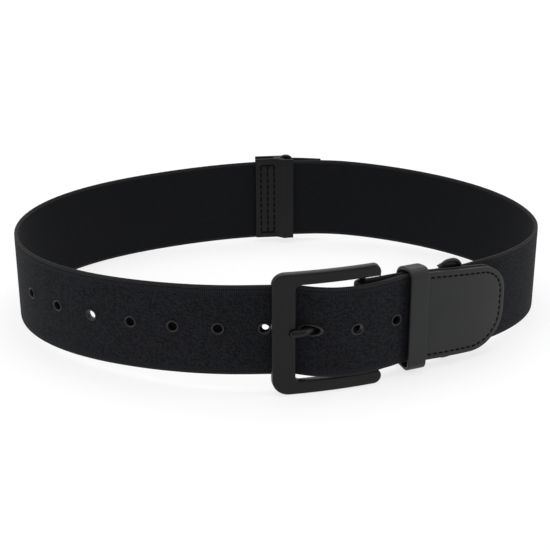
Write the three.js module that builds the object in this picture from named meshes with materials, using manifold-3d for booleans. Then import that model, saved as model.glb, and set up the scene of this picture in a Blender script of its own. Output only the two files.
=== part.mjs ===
// Elastic stretch belt, buckled into its loop and standing on its lower edge.
// Millimetres, +Z up. Places along the belt are measured round its loop from the front
// centre, positive to the right. An offset is measured outwards from that loop.
import * as THREE from "three";
import { mergeVertices } from "three/addons/utils/BufferGeometryUtils.js";
import Module from "manifold-3d";

const wasm = await Module();
wasm.setup();

// The loop that the webbing follows, seen from above
const LOOP_WIDTH = 289;
const LOOP_DEPTH = 186;
const LOOP_TURN = THREE.MathUtils.degToRad(4.5);
const LOOP_SQUARENESS = 0.0418;
const LOOP_FLATNESS = 0.0058;
const LOOP_PEAR_SHAPE = 0.0142;
const LOOP_PEAR_TURN = THREE.MathUtils.degToRad(27);
const LOOP_SAMPLES = 1440;
const FRONT_ANGLE = 1.5 * Math.PI;

// Webbing
const WEBBING_WIDTH = 50;
const WEBBING_THICKNESS = 2;
const ADJUST_WIDTH = 49;
const SELVEDGE = 0.5;
const SELVEDGE_SHARE = 0.6;
const STRIP_STEP = 5;
const FINE_STEP_SHARE = 0.6;
const GAP = 0.3;
const WALK_STEP = 0.1;

// Heights at which the webbing stands clear of the surface
const LEFT_SIDE_CLEARANCE = 0.5;
const RIGHT_SIDE_CLEARANCE = 0.4;
const BACK_CLEARANCE = 2.8;
const ADJUST_BACK_RISE = 1.6;

// Buckle frame
const BUCKLE_START = -4.5;
const BUCKLE_LENGTH = 57.4;
const BUCKLE_THICKNESS = 4;
const BUCKLE_OFFSET = 3.7;
const BUCKLE_BEND_RADIUS = 240;
const LEFT_BAR_WIDTH = 11.8;
const RAIL_WIDTH = 6.4;
const WINDOW_ROOM = 2.2;
const BUCKLE_HEIGHT = WEBBING_WIDTH + 2 * (WINDOW_ROOM + RAIL_WIDTH);
const BUCKLE_CORNER = 6.5;
const WINDOW_CORNER = 2.7;
const BUCKLE_BEVEL = 0.8;
const TOP_RAIL_TRIM = 2;
const HEEL_BAR_DIAMETER = 3.6;
const HEEL_BAR_INSET = 10.5;
const HEEL_BAR_OFFSET = 2.3;
const HEEL_LUG_DIAMETER = 5;
const HEEL_LUG_LENGTH = 0.9;
const HEEL_LUG_SHIFT = 0.4;
const HEEL_BAR_END_INSET = 1;
const OUTLINE_STEP = 5;
const BEVEL_STEPS = 2;
const ROD_SIDES = 16;
const CORNER_STEPS = 6;
const FOLD_STEPS = 8;
const ROUNDED_END_STEPS = 7;

// Prong
const PRONG_DIAMETER = 4.1;
const PRONG_TIP_INSET = 8.3;
const PRONG_NOTCH_DEPTH = 1.6;
const PRONG_RING_WALL = 1.5;
const PRONG_RING_HEIGHT = 4;
const PRONG_WINDOW_SHARE = 0.24;
const PRONG_STEPS = 20;
const PRONG_TIP_FIT = 0.995;
const PRONG_RING_REACH = 1;
const PRONG_SLOT_ROOM = 1.2;

// Eyelets
const EYELET_COUNT = 10;
const PRONG_EYELET = 8;
const EYELET_PITCH = 23.3;
const EYELET_RISE = 1.4;
const EYELET_BORE = 4.8;
const EYELET_RIM = 6.5;
const EYELET_WALL = 0.3;
const EYELET_FLANGE = 0.4;
const EYELET_SEAT = 0.15;
const EYELET_STRETCH = 1.85;
const EYELET_SIDES = 14;

// Leather tip of the webbing, two plies with the webbing between them
const TIP_END = 126;
const TIP_LENGTH = 56;
const TIP_HEIGHT = 50.4;
const TIP_TOP_CORNER = 13;
const TIP_BOTTOM_CORNER = 24;
const TIP_TOP_DROP = 2;
const TIP_PLY = 1.2;
const TIP_SEAT = 0.2;
const TIP_RIM = 1;
const TAIL_OFFSET = 2;
const TAIL_LIFT = 0.6;
const TAIL_RISE = 1.6;

// Keeper loop
const KEEPER_PLACE = 72.3;
const KEEPER_WIDTH = 10.2;
const KEEPER_HEIGHT = 58;
const KEEPER_WALL = 1.8;
const KEEPER_CORNER = 5;
const KEEPER_SLACK = 0.5;
const KEEPER_BACK_SLACK = 4;
const KEEPER_BEVEL = 0.4;
const KEEPER_ENTRY_LIFT = 0.5;
const RETURN_LEAD = 4;
const SEWN_END = 82.5;
const SEWN_END_LIFT = 0.8;

// Slide on the adjusting strap, behind the tip
const SLIDE_PLACE = 94;
const SLIDE_LENGTH = 14.5;
const SLIDE_HEIGHT = 57;
const SLIDE_THICKNESS = 1.8;
const SLIDE_BAND = 2;
const SLIDE_CORNER = 6.4;
const SLIDE_RISE = 1.6;
const SLIDE_BAR_WIDTH = 4;
const SLIDE_BAR_THICKNESS = 1.4;
const SLIDE_BEVEL = 0.4;
const SLIDE_POST_INSET = 0.5;

// Course of the adjusting strap past the tip: how far past its end, and how far inwards
const PAST_TIP = [
  { past: -10, inwards: 1.1 },
  { past: 20, inwards: 0.4 },
];
const PAST_TIP_SETTLED = 70;

// Ring and tab that join the two straps at the back
const JOIN_SHIFT = 1.5;
const RING_PLACE = -7;
const RING_LENGTH = 9;
const RING_HEIGHT = 55.6;
const RING_THICKNESS = 2;
const RING_BAND = 2;
const RING_RISE = 1.2;
const RING_BEVEL = 0.5;
const RING_ROOM = 0.5;
const RING_INNER_CORNER_SHARE = 0.9;
const RING_CORNER_INSET = 0.3;
const BACK_HEM = 18;
const BACK_SETTLED = 34;
const HEM_LEAN = 0.35;
const TAB_LENGTH = 23;
const TAB_HEIGHT = 52;
const TAB_RISE = 1.6;
const TAB_PLY = 1.4;
const TAB_POCKET = 11;
const TAB_POCKET_ROOM = 0.7;
const TAB_FLAP_RAMP = 6;

// Finishes
const finish = (color, roughness, metalness) =>
  new THREE.MeshStandardMaterial({ color, roughness, metalness });
const WEBBING_FINISH = finish(0x1b1c21, 0.9, 0);
const LEATHER_FINISH = finish(0x3a3a3a, 0.55, 0);
const PAINT_FINISH = finish(0x252627, 0.45, 0.3);
const RING_FINISH = finish(0x3a3b3d, 0.4, 0.8);
const EYELET_FINISH = finish(0x26272b, 0.6, 0);

// The loop

// An oval that is a little square, flat at the front and back, and fuller on one side
function loopRadius(angle) {
  const mean = (LOOP_WIDTH + LOOP_DEPTH) / 4 / (1 + LOOP_SQUARENESS);
  const oval = (LOOP_WIDTH - LOOP_DEPTH) / 4 - mean * LOOP_FLATNESS;
  const waves =
    LOOP_SQUARENESS * Math.cos(4 * angle) +
    LOOP_FLATNESS * Math.cos(6 * angle) +
    LOOP_PEAR_SHAPE * Math.cos(3 * (angle - LOOP_PEAR_TURN));
  return mean * (1 + waves) + oval * Math.cos(2 * (angle - LOOP_TURN));
}

function sampleLoop() {
  const samples = [];
  let length = 0;
  for (let i = 0; i <= LOOP_SAMPLES; i += 1) {
    const angle = FRONT_ANGLE + (2 * Math.PI * i) / LOOP_SAMPLES;
    const radius = loopRadius(angle);
    const point = new THREE.Vector2(radius * Math.cos(angle), radius * Math.sin(angle));
    if (i > 0) {
      length += point.distanceTo(samples[i - 1].point);
    }
    samples.push({ angle, point, length });
  }
  return samples;
}

const loop = sampleLoop();
const GIRTH = loop[LOOP_SAMPLES].length;
const BACK = loop[LOOP_SAMPLES / 2].length;
const JOIN = BACK + JOIN_SHIFT;

// Point, outward direction and polar angle of the loop at a place along it
function loopAt(place) {
  const along = THREE.MathUtils.euclideanModulo(place, GIRTH);
  let low = 0;
  let high = LOOP_SAMPLES;
  while (high - low > 1) {
    const middle = Math.floor((low + high) / 2);
    if (loop[middle].length > along) {
      high = middle;
    } else {
      low = middle;
    }
  }
  const a = loop[low];
  const b = loop[high];
  const t = (along - a.length) / (b.length - a.length);
  const point = a.point.clone().lerp(b.point, t);
  const before = loop[(low + LOOP_SAMPLES - 1) % LOOP_SAMPLES].point;
  const after = loop[(high + 1) % LOOP_SAMPLES].point;
  const slopeA = b.point.clone().sub(before).normalize();
  const slopeB = after.clone().sub(a.point).normalize();
  const tangent = slopeA.lerp(slopeB, t).normalize();
  const out = new THREE.Vector2(tangent.y, -tangent.x);
  return { point, tangent, out, angle: THREE.MathUtils.lerp(a.angle, b.angle, t) };
}

function spot(place, offset) {
  const here = loopAt(place);
  return here.point.addScaledVector(here.out, offset);
}

// Height of the middle of a strap: it hangs from the buckle and the ring and sags at the sides
function middleHeight(place, sideHeight, back) {
  const front = BUCKLE_HEIGHT / 2;
  const sag = ((front + back) / 2 - sideHeight) / 2;
  const angle = loopAt(place).angle;
  return sideHeight + sag - ((front - back) / 2) * Math.sin(angle) - sag * Math.cos(2 * angle);
}

const BACK_HEIGHT = WEBBING_WIDTH / 2 + BACK_CLEARANCE;

// The main strap's tail rises a little from the buckle to its tip
function mainHeight(place) {
  const rise = TAIL_RISE * THREE.MathUtils.smoothstep(place, BUCKLE_START, TIP_END);
  return middleHeight(place, WEBBING_WIDTH / 2 + LEFT_SIDE_CLEARANCE, BACK_HEIGHT) + rise;
}

function adjustHeight(place) {
  return middleHeight(place, ADJUST_WIDTH / 2 + RIGHT_SIDE_CLEARANCE, BACK_HEIGHT + ADJUST_BACK_RISE);
}

// Smooth curve through rows of place and offset, level before the first and after the last
function offsetThrough(rows, place) {
  if (place <= rows[0].place) {
    return rows[0].offset;
  }
  const last = rows.length - 1;
  if (place >= rows[last].place) {
    return rows[last].offset;
  }
  const i = rows.findIndex((row) => row.place > place) - 1;
  const slope = (k) => {
    if (k === 0 || k === last) {
      return 0;
    }
    return (rows[k + 1].offset - rows[k - 1].offset) / (rows[k + 1].place - rows[k - 1].place);
  };
  const span = rows[i + 1].place - rows[i].place;
  const t = (place - rows[i].place) / span;
  const rise = rows[i + 1].offset - rows[i].offset;
  const ease = t * t * (3 - 2 * t);
  const lead = t * (1 - t) * (1 - t) * slope(i) * span;
  const trail = t * t * (1 - t) * slope(i + 1) * span;
  return rows[i].offset + rise * ease + lead - trail;
}

// Places and offsets that follow from the sizes

const HEEL_BAR = BUCKLE_START + BUCKLE_LENGTH - HEEL_BAR_INSET;
const HEEL_FOLD_RADIUS = HEEL_BAR_DIAMETER / 2 + GAP + WEBBING_THICKNESS / 2;
const PLY_STEP = WEBBING_THICKNESS + GAP;
const RUN_RISE = HEEL_BAR_OFFSET + HEEL_FOLD_RADIUS;
const OVER_HEEL = RUN_RISE + PLY_STEP + EYELET_SEAT + EYELET_FLANGE;
const WINDOW_START = BUCKLE_START + LEFT_BAR_WIDTH;
const WINDOW_LENGTH = HEEL_BAR - WINDOW_START;
const PRONG_PLACE = WINDOW_START + PRONG_WINDOW_SHARE * WINDOW_LENGTH;
const KEEPER_START = KEEPER_PLACE - KEEPER_WIDTH / 2;
const TIP_START = TIP_END - TIP_LENGTH;
const TIP_BACK = TAIL_OFFSET - WEBBING_THICKNESS / 2 - TIP_SEAT - TIP_PLY;
const UNDER_TIP = TIP_BACK - GAP - WEBBING_THICKNESS / 2;
const BACK_PLY_OFFSET = UNDER_TIP - PLY_STEP;
const SLIDE_OFFSET = TIP_BACK - GAP - SLIDE_THICKNESS;
const UNDER_SLIDE = SLIDE_OFFSET - GAP - WEBBING_THICKNESS / 2;
const between = (from, to, share) => from + (to - from) * share;

// Courses of the straps, as shares of the way between two pieces and of the rise over the bar
const MAIN_ROWS = [
  { place: BUCKLE_START - LEFT_BAR_WIDTH, offset: 0 },
  { place: WINDOW_START, offset: 0.17 * OVER_HEEL },
  { place: between(WINDOW_START, HEEL_BAR, 0.29), offset: 0.68 * OVER_HEEL },
  { place: between(WINDOW_START, HEEL_BAR, 0.6), offset: 1.02 * OVER_HEEL },
  { place: HEEL_BAR, offset: OVER_HEEL },
  { place: between(HEEL_BAR, KEEPER_START, 0.6), offset: 0.62 * OVER_HEEL },
  { place: KEEPER_START, offset: TAIL_OFFSET + KEEPER_ENTRY_LIFT },
  { place: KEEPER_START + KEEPER_WIDTH, offset: TAIL_OFFSET },
  { place: TIP_END, offset: TAIL_OFFSET + TAIL_LIFT },
];

const RUNNING_ROWS = [
  { place: HEEL_BAR, offset: RUN_RISE },
  { place: between(HEEL_BAR, KEEPER_START, 0.35), offset: 0.72 * RUN_RISE },
  { place: between(HEEL_BAR, KEEPER_START, 0.7), offset: 0.16 * RUN_RISE },
  { place: KEEPER_START, offset: UNDER_TIP },
  { place: KEEPER_START + KEEPER_WIDTH, offset: UNDER_TIP },
  { place: SLIDE_PLACE - SLIDE_LENGTH / 2, offset: UNDER_SLIDE },
  { place: SLIDE_PLACE + SLIDE_LENGTH / 2, offset: UNDER_SLIDE },
  ...PAST_TIP.map((row) => ({ place: TIP_END + row.past, offset: UNDER_SLIDE - row.inwards })),
  { place: TIP_END + PAST_TIP_SETTLED, offset: 0 },
];

const RING_CENTRE = JOIN + RING_PLACE;
const RING_BAR = RING_CENTRE - (RING_LENGTH - RING_BAND) / 2;
const RING_FOLD_RADIUS = RING_THICKNESS / 2 + RING_ROOM + WEBBING_THICKNESS / 2;
const BACK_ROWS = [
  { place: RING_BAR - BACK_SETTLED, offset: 0 },
  { place: RING_BAR - BACK_HEM, offset: -HEM_LEAN * RING_FOLD_RADIUS },
  { place: RING_BAR, offset: -RING_FOLD_RADIUS },
];
const HEM_ROWS = [
  { place: RING_BAR - BACK_HEM, offset: PLY_STEP + GAP - HEM_LEAN * RING_FOLD_RADIUS },
  { place: RING_BAR, offset: RING_FOLD_RADIUS },
];
const RETURN_ROWS = [
  { place: HEEL_BAR, offset: HEEL_BAR_OFFSET - HEEL_FOLD_RADIUS },
  { place: KEEPER_START - RETURN_LEAD, offset: BACK_PLY_OFFSET + KEEPER_ENTRY_LIFT },
  { place: KEEPER_START, offset: BACK_PLY_OFFSET },
  { place: KEEPER_START + KEEPER_WIDTH, offset: BACK_PLY_OFFSET },
  { place: SEWN_END, offset: BACK_PLY_OFFSET - SEWN_END_LIFT },
];

const mainOffset = (place) => offsetThrough(MAIN_ROWS, place);

// Geometry helpers

function solidOf(geometry) {
  const plain = geometry.clone();
  plain.deleteAttribute("normal");
  plain.deleteAttribute("uv");
  const merged = mergeVertices(plain, 1e-4);
  const vertProperties = new Float32Array(merged.attributes.position.array);
  const triVerts = new Uint32Array(merged.index.array);
  return new wasm.Manifold(new wasm.Mesh({ numProp: 3, vertProperties, triVerts }));
}

function geometryOf(solid) {
  const mesh = solid.getMesh();
  const geometry = new THREE.BufferGeometry();
  geometry.setAttribute("position", new THREE.BufferAttribute(mesh.vertProperties, 3));
  geometry.setIndex(new THREE.BufferAttribute(mesh.triVerts, 1));
  return geometry;
}

function joined(geometries) {
  return geometryOf(geometries.map(solidOf).reduce((all, next) => all.add(next)));
}

function cutBy(geometry, tools) {
  return geometryOf(tools.map(solidOf).reduce((left, tool) => left.subtract(tool), solidOf(geometry)));
}

function mapPoints(geometry, map) {
  const position = geometry.attributes.position;
  const point = new THREE.Vector3();
  for (let i = 0; i < position.count; i += 1) {
    point.fromBufferAttribute(position, i);
    map(point);
    position.setXYZ(i, point.x, point.y, point.z);
  }
  return geometry;
}

// Rounded rectangle about the origin, its long sides split into equal steps
function roundedOutline(width, height, corner, step, path = new THREE.Shape()) {
  const halfWidth = width / 2 - corner;
  const halfHeight = height / 2 - corner;
  const corners = [
    { x: halfWidth, y: halfHeight },
    { x: -halfWidth, y: halfHeight },
    { x: -halfWidth, y: -halfHeight },
    { x: halfWidth, y: -halfHeight },
  ];
  const points = [];
  corners.forEach((centre, quarter) => {
    for (let i = 0; i <= CORNER_STEPS; i += 1) {
      const angle = (quarter + i / CORNER_STEPS) * (Math.PI / 2);
      const x = centre.x + corner * Math.cos(angle);
      const y = centre.y + corner * Math.sin(angle);
      points.push(new THREE.Vector2(x, y));
    }
  });
  const split = [];
  points.forEach((point, i) => {
    const next = points[(i + 1) % points.length];
    const pieces = Math.max(1, Math.round(point.distanceTo(next) / step));
    for (let k = 0; k < pieces; k += 1) {
      split.push(point.clone().lerp(next, k / pieces));
    }
  });
  return path.setFromPoints(split);
}

// A flat strip of webbing or leather that follows a course of places and offsets
function strip(course, thickness, height, middle, halfHeight) {
  const half = thickness / 2;
  const edge = height / 2;
  const bevel = Math.min(SELVEDGE, half * SELVEDGE_SHARE);
  const section = new THREE.Shape([
    new THREE.Vector2(half, -edge + bevel),
    new THREE.Vector2(half, edge - bevel),
    new THREE.Vector2(half - bevel, edge),
    new THREE.Vector2(-half + bevel, edge),
    new THREE.Vector2(-half, edge - bevel),
    new THREE.Vector2(-half, -edge + bevel),
    new THREE.Vector2(-half + bevel, -edge),
    new THREE.Vector2(half - bevel, -edge),
  ]);
  const last = course.length - 1;
  const geometry = new THREE.ExtrudeGeometry(section, { depth: last, steps: last, bevelEnabled: false });
  const spots = course.map((row) => spot(row.place, row.offset));
  const heights = course.map((row) => middle(row.place));
  const halves = course.map((row) => halfHeight(row.place));
  return mapPoints(geometry, (point) => {
    const i = last - Math.round(point.z);
    const before = spots[Math.max(0, i - 1)];
    const after = spots[Math.min(last, i + 1)];
    const along = after.clone().sub(before).normalize();
    const fromEdge = edge - Math.abs(point.y);
    const z = heights[i] + Math.sign(point.y) * (halves[i] - fromEdge);
    point.set(spots[i].x + along.y * point.x, spots[i].y - along.x * point.x, z);
  });
}

function placesBetween(from, to, step) {
  const steps = Math.max(1, Math.ceil(Math.abs(to - from) / step));
  return Array.from({ length: steps + 1 }, (unused, i) => from + ((to - from) * i) / steps);
}

// Rows of a fold: half a turn about a centre, from one side of a bar to the other
function foldRows(place, offset, radius, startAngle, turn) {
  const rows = [];
  for (let i = 1; i < FOLD_STEPS; i += 1) {
    const angle = startAngle + (turn * i) / FOLD_STEPS;
    rows.push({ place: place + radius * Math.cos(angle), offset: offset + radius * Math.sin(angle) });
  }
  return rows;
}

// Places that close in on a rounded end, and the half height there
function roundedEndPlaces(end, corner) {
  const places = [];
  for (let i = 0; i <= ROUNDED_END_STEPS; i += 1) {
    places.push(end - corner + corner * Math.sin((i / ROUNDED_END_STEPS) * (Math.PI / 2)));
  }
  return places;
}

function roundedEndHalf(place, end, corner, half) {
  const into = Math.max(0, place - (end - corner));
  return half - corner + Math.sqrt(Math.max(0, corner * corner - into * into));
}

// Piece seated square to the loop: its X runs along the belt, its Y points inwards
function seated(name, geometry, material, place, offset, height) {
  const mesh = new THREE.Mesh(geometry, material);
  mesh.name = name;
  const here = loopAt(place);
  const at = spot(place, offset);
  mesh.position.set(at.x, at.y, height);
  mesh.rotation.z = Math.atan2(here.tangent.y, here.tangent.x);
  return mesh;
}

// A place and offset of the belt, in the axes of a piece seated at another place
function inSeat(seatPlace, seatOffset, place, offset) {
  const here = loopAt(seatPlace);
  const away = spot(place, offset).sub(spot(seatPlace, seatOffset));
  return new THREE.Vector2(away.dot(here.tangent), -away.dot(here.out));
}

function plainMesh(name, geometry, material) {
  const mesh = new THREE.Mesh(geometry, material);
  mesh.name = name;
  return mesh;
}

// Main strap with its eyelets

const mainSpot = (place) => spot(place, mainOffset(place));

// Place on the main strap a given length of webbing away from another place
function alongMain(start, distance) {
  const direction = Math.sign(distance);
  let place = start;
  let walked = 0;
  let point = mainSpot(place);
  while (walked < Math.abs(distance)) {
    place += direction * WALK_STEP;
    const next = mainSpot(place);
    walked += next.distanceTo(point);
    point = next;
  }
  return place;
}

// Lays a small piece on the main strap: its X runs along the webbing, its Y through it
function laidOnMain(geometry, place) {
  return mapPoints(geometry, (point) => {
    const here = place + point.x;
    const at = mainSpot(here);
    const along = mainSpot(here + WALK_STEP).sub(mainSpot(here - WALK_STEP)).normalize();
    point.set(at.x - along.y * point.y, at.y + along.x * point.y, mainHeight(here) + point.z);
  });
}

const EYELETS = Array.from({ length: EYELET_COUNT }, (unused, i) => {
  const number = i + 1;
  const place = alongMain(PRONG_PLACE, (number - PRONG_EYELET) * EYELET_PITCH);
  const stretch = number === PRONG_EYELET ? EYELET_STRETCH : 1;
  return { number, place, stretch };
});

function eyeletHole(eyelet) {
  const radius = EYELET_BORE / 2 + EYELET_WALL + EYELET_SEAT;
  const tool = new THREE.CylinderGeometry(radius, radius, 2 * WEBBING_THICKNESS, EYELET_SIDES);
  return laidOnMain(tool.scale(eyelet.stretch, 1, 1).translate(0, 0, EYELET_RISE), eyelet.place);
}

// Height of the middle and half width of the tip, drawn in from its outline by an inset.
// Its top edge comes down towards its end, and its bottom corner is the rounder one.
function tipShape(place, halfWidth, inset) {
  const end = TIP_END - inset;
  const drop = TIP_TOP_DROP * THREE.MathUtils.smoothstep(place, TIP_START, TIP_END);
  const up = roundedEndHalf(place, end, TIP_TOP_CORNER - inset, halfWidth) - drop;
  const down = roundedEndHalf(place, end, TIP_BOTTOM_CORNER - inset, halfWidth);
  return { middle: mainHeight(place) + (up - down) / 2, half: (up + down) / 2 };
}

function mainStrap() {
  const start = JOIN - GIRTH + TAB_LENGTH / 2 - TAB_POCKET + GAP;
  const end = TIP_END - TIP_RIM;
  const corner = TIP_BOTTOM_CORNER - TIP_RIM;
  const places = [
    ...placesBetween(start, BUCKLE_START - LEFT_BAR_WIDTH, STRIP_STEP),
    ...placesBetween(BUCKLE_START - LEFT_BAR_WIDTH, end - corner, STRIP_STEP * FINE_STEP_SHARE).slice(1),
    ...roundedEndPlaces(end, corner).slice(1),
  ];
  const course = places.map((place) => ({ place, offset: mainOffset(place) }));
  const middle = (place) => tipShape(place, WEBBING_WIDTH / 2, TIP_RIM).middle;
  const half = (place) => tipShape(place, WEBBING_WIDTH / 2, TIP_RIM).half;
  const band = strip(course, WEBBING_THICKNESS, WEBBING_WIDTH, middle, half);
  return plainMesh("main_strap", cutBy(band, EYELETS.map(eyeletHole)), WEBBING_FINISH);
}

// Lathe ring with a flange on each face of the webbing
function eyeletRing(eyelet) {
  const inner = EYELET_BORE / 2;
  const barrel = inner + EYELET_WALL;
  const rim = EYELET_RIM / 2;
  const seat = WEBBING_THICKNESS / 2 + EYELET_SEAT;
  const face = seat + EYELET_FLANGE;
  const profile = [
    new THREE.Vector2(inner, -face),
    new THREE.Vector2(rim, -face),
    new THREE.Vector2(rim, -seat),
    new THREE.Vector2(barrel, -seat),
    new THREE.Vector2(barrel, seat),
    new THREE.Vector2(rim, seat),
    new THREE.Vector2(rim, face),
    new THREE.Vector2(inner, face),
    new THREE.Vector2(inner, -face),
  ];
  const ring = new THREE.LatheGeometry(profile, EYELET_SIDES).scale(eyelet.stretch, 1, 1);
  ring.translate(0, 0, EYELET_RISE);
  const name = `eyelet_${String(eyelet.number).padStart(2, "0")}`;
  return plainMesh(name, geometryOf(solidOf(laidOnMain(ring, eyelet.place))), EYELET_FINISH);
}

// Leather plies of the tip

function tipPly(name, side) {
  const step = WEBBING_THICKNESS / 2 + TIP_SEAT + TIP_PLY / 2;
  const places = [
    ...placesBetween(TIP_START, TIP_END - TIP_BOTTOM_CORNER, STRIP_STEP),
    ...roundedEndPlaces(TIP_END, TIP_BOTTOM_CORNER).slice(1),
  ];
  const course = places.map((place) => ({ place, offset: mainOffset(place) + side * step }));
  const middle = (place) => tipShape(place, TIP_HEIGHT / 2, 0).middle;
  const half = (place) => tipShape(place, TIP_HEIGHT / 2, 0).half;
  return plainMesh(name, strip(course, TIP_PLY, TIP_HEIGHT, middle, half), LEATHER_FINISH);
}

// Adjusting strap: a hem round the ring, the run round the right side, a fold round the heel bar

function adjustStrap() {
  const quarter = Math.PI / 2;
  const hem = placesBetween(RING_BAR - BACK_HEM, RING_BAR, STRIP_STEP)
    .map((place) => ({ place, offset: offsetThrough(HEM_ROWS, place) }));
  const ringFold = foldRows(RING_BAR, 0, RING_FOLD_RADIUS, quarter, -2 * quarter);
  const run = placesBetween(RING_BAR, HEEL_BAR, STRIP_STEP).map((place) => {
    const rows = place > (RING_BAR + TIP_END) / 2 ? BACK_ROWS : RUNNING_ROWS;
    return { place, offset: offsetThrough(rows, place) };
  });
  const heelFold = foldRows(HEEL_BAR, HEEL_BAR_OFFSET, HEEL_FOLD_RADIUS, quarter, 2 * quarter);
  const back = placesBetween(HEEL_BAR, SEWN_END, STRIP_STEP)
    .map((place) => ({ place, offset: offsetThrough(RETURN_ROWS, place) }));
  const course = [...hem, ...ringFold, ...run, ...heelFold, ...back];
  const half = () => ADJUST_WIDTH / 2;
  const band = strip(course, WEBBING_THICKNESS, ADJUST_WIDTH, adjustHeight, half);
  const slotReach = HEEL_FOLD_RADIUS + WEBBING_THICKNESS / 2;
  const slotHeight = Math.max(PRONG_DIAMETER, PRONG_RING_HEIGHT) + PRONG_SLOT_ROOM;
  const slot = new THREE.BoxGeometry(3 * slotReach, 3 * slotReach, slotHeight);
  const here = loopAt(HEEL_BAR);
  slot.rotateZ(Math.atan2(here.tangent.y, here.tangent.x));
  const at = spot(HEEL_BAR, HEEL_BAR_OFFSET);
  slot.translate(at.x, at.y, BUCKLE_HEIGHT / 2 + EYELET_RISE);
  return plainMesh("adjust_strap", cutBy(band, [slot]), WEBBING_FINISH);
}

// Buckle frame and prong share one seat at the middle of the frame

const BUCKLE_PLACE = BUCKLE_START + BUCKLE_LENGTH / 2;
const buckleSpot = (place, offset) => inSeat(BUCKLE_PLACE, BUCKLE_OFFSET, place, offset);
const bendAt = (x) => BUCKLE_BEND_RADIUS - Math.sqrt(BUCKLE_BEND_RADIUS ** 2 - x * x);
const PRONG_RADIUS = PRONG_DIAMETER / 2;
const PRONG_TIP_X = -BUCKLE_LENGTH / 2 + PRONG_TIP_INSET + PRONG_RADIUS;
const PRONG_FRONT_Y = -BUCKLE_THICKNESS - PRONG_RADIUS + PRONG_NOTCH_DEPTH;

function frameBlank() {
  const outline = roundedOutline(BUCKLE_LENGTH, BUCKLE_HEIGHT, BUCKLE_CORNER, OUTLINE_STEP);
  const windowLength = BUCKLE_LENGTH - LEFT_BAR_WIDTH - RAIL_WIDTH;
  const windowHeight = BUCKLE_HEIGHT - 2 * RAIL_WIDTH;
  const hole = roundedOutline(windowLength, windowHeight, WINDOW_CORNER, OUTLINE_STEP, new THREE.Path());
  const shift = (LEFT_BAR_WIDTH - RAIL_WIDTH) / 2;
  const points = hole.getPoints().map((point) => new THREE.Vector2(point.x + shift, point.y));
  outline.holes.push(new THREE.Path(points.reverse()));
  const blank = new THREE.ExtrudeGeometry(outline, {
    depth: BUCKLE_THICKNESS - 2 * BUCKLE_BEVEL,
    bevelThickness: BUCKLE_BEVEL,
    bevelSize: BUCKLE_BEVEL,
    bevelOffset: -BUCKLE_BEVEL,
    bevelSegments: BEVEL_STEPS,
    curveSegments: 1,
  });
  blank.translate(0, 0, BUCKLE_BEVEL);
  blank.rotateX(Math.PI / 2);
  // The top rail ends a little short of the bottom one
  return mapPoints(blank, (point) => {
    const right = Math.max(0, point.x) / (BUCKLE_LENGTH / 2);
    const up = Math.max(0, point.z) / (BUCKLE_HEIGHT / 2);
    const x = point.x - TOP_RAIL_TRIM * right * up;
    point.set(x, point.y + bendAt(x), point.z);
  });
}

function buckleFrame() {
  const bar = buckleSpot(HEEL_BAR, HEEL_BAR_OFFSET);
  const column = (diameter, length, z) => {
    const rod = new THREE.CylinderGeometry(diameter / 2, diameter / 2, length, ROD_SIDES);
    return rod.rotateX(Math.PI / 2).translate(bar.x, bar.y, z);
  };
  const heelBar = column(HEEL_BAR_DIAMETER, BUCKLE_HEIGHT - 2 * HEEL_BAR_END_INSET, 0);
  const lugHeight = RAIL_WIDTH + HEEL_LUG_LENGTH - HEEL_BAR_END_INSET;
  const lugMiddle = BUCKLE_HEIGHT / 2 - HEEL_BAR_END_INSET - lugHeight / 2;
  const lugs = [-1, 1].map((end) => column(HEEL_LUG_DIAMETER, lugHeight, end * lugMiddle));
  lugs.forEach((lug) => lug.translate(0, -HEEL_LUG_SHIFT, 0));
  const notchRadius = PRONG_RADIUS + GAP;
  const notchLength = LEFT_BAR_WIDTH;
  const notch = new THREE.CapsuleGeometry(notchRadius, notchLength, CORNER_STEPS, ROD_SIDES);
  notch.rotateZ(Math.PI / 2);
  notch.translate(PRONG_TIP_X + notchLength / 2, PRONG_FRONT_Y + bendAt(PRONG_TIP_X), EYELET_RISE);
  const rightBar = new THREE.BoxGeometry(BUCKLE_LENGTH, 4 * BUCKLE_THICKNESS, BUCKLE_HEIGHT - 2 * RAIL_WIDTH);
  const rightBarStart = BUCKLE_LENGTH / 2 - RAIL_WIDTH - WINDOW_CORNER;
  rightBar.translate(rightBarStart + BUCKLE_LENGTH / 2, 0, 0);
  const open = cutBy(frameBlank(), [notch, rightBar]);
  const frame = joined([open, heelBar, ...lugs]);
  return seated("buckle_frame", frame, PAINT_FINISH, BUCKLE_PLACE, BUCKLE_OFFSET, BUCKLE_HEIGHT / 2);
}

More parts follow.
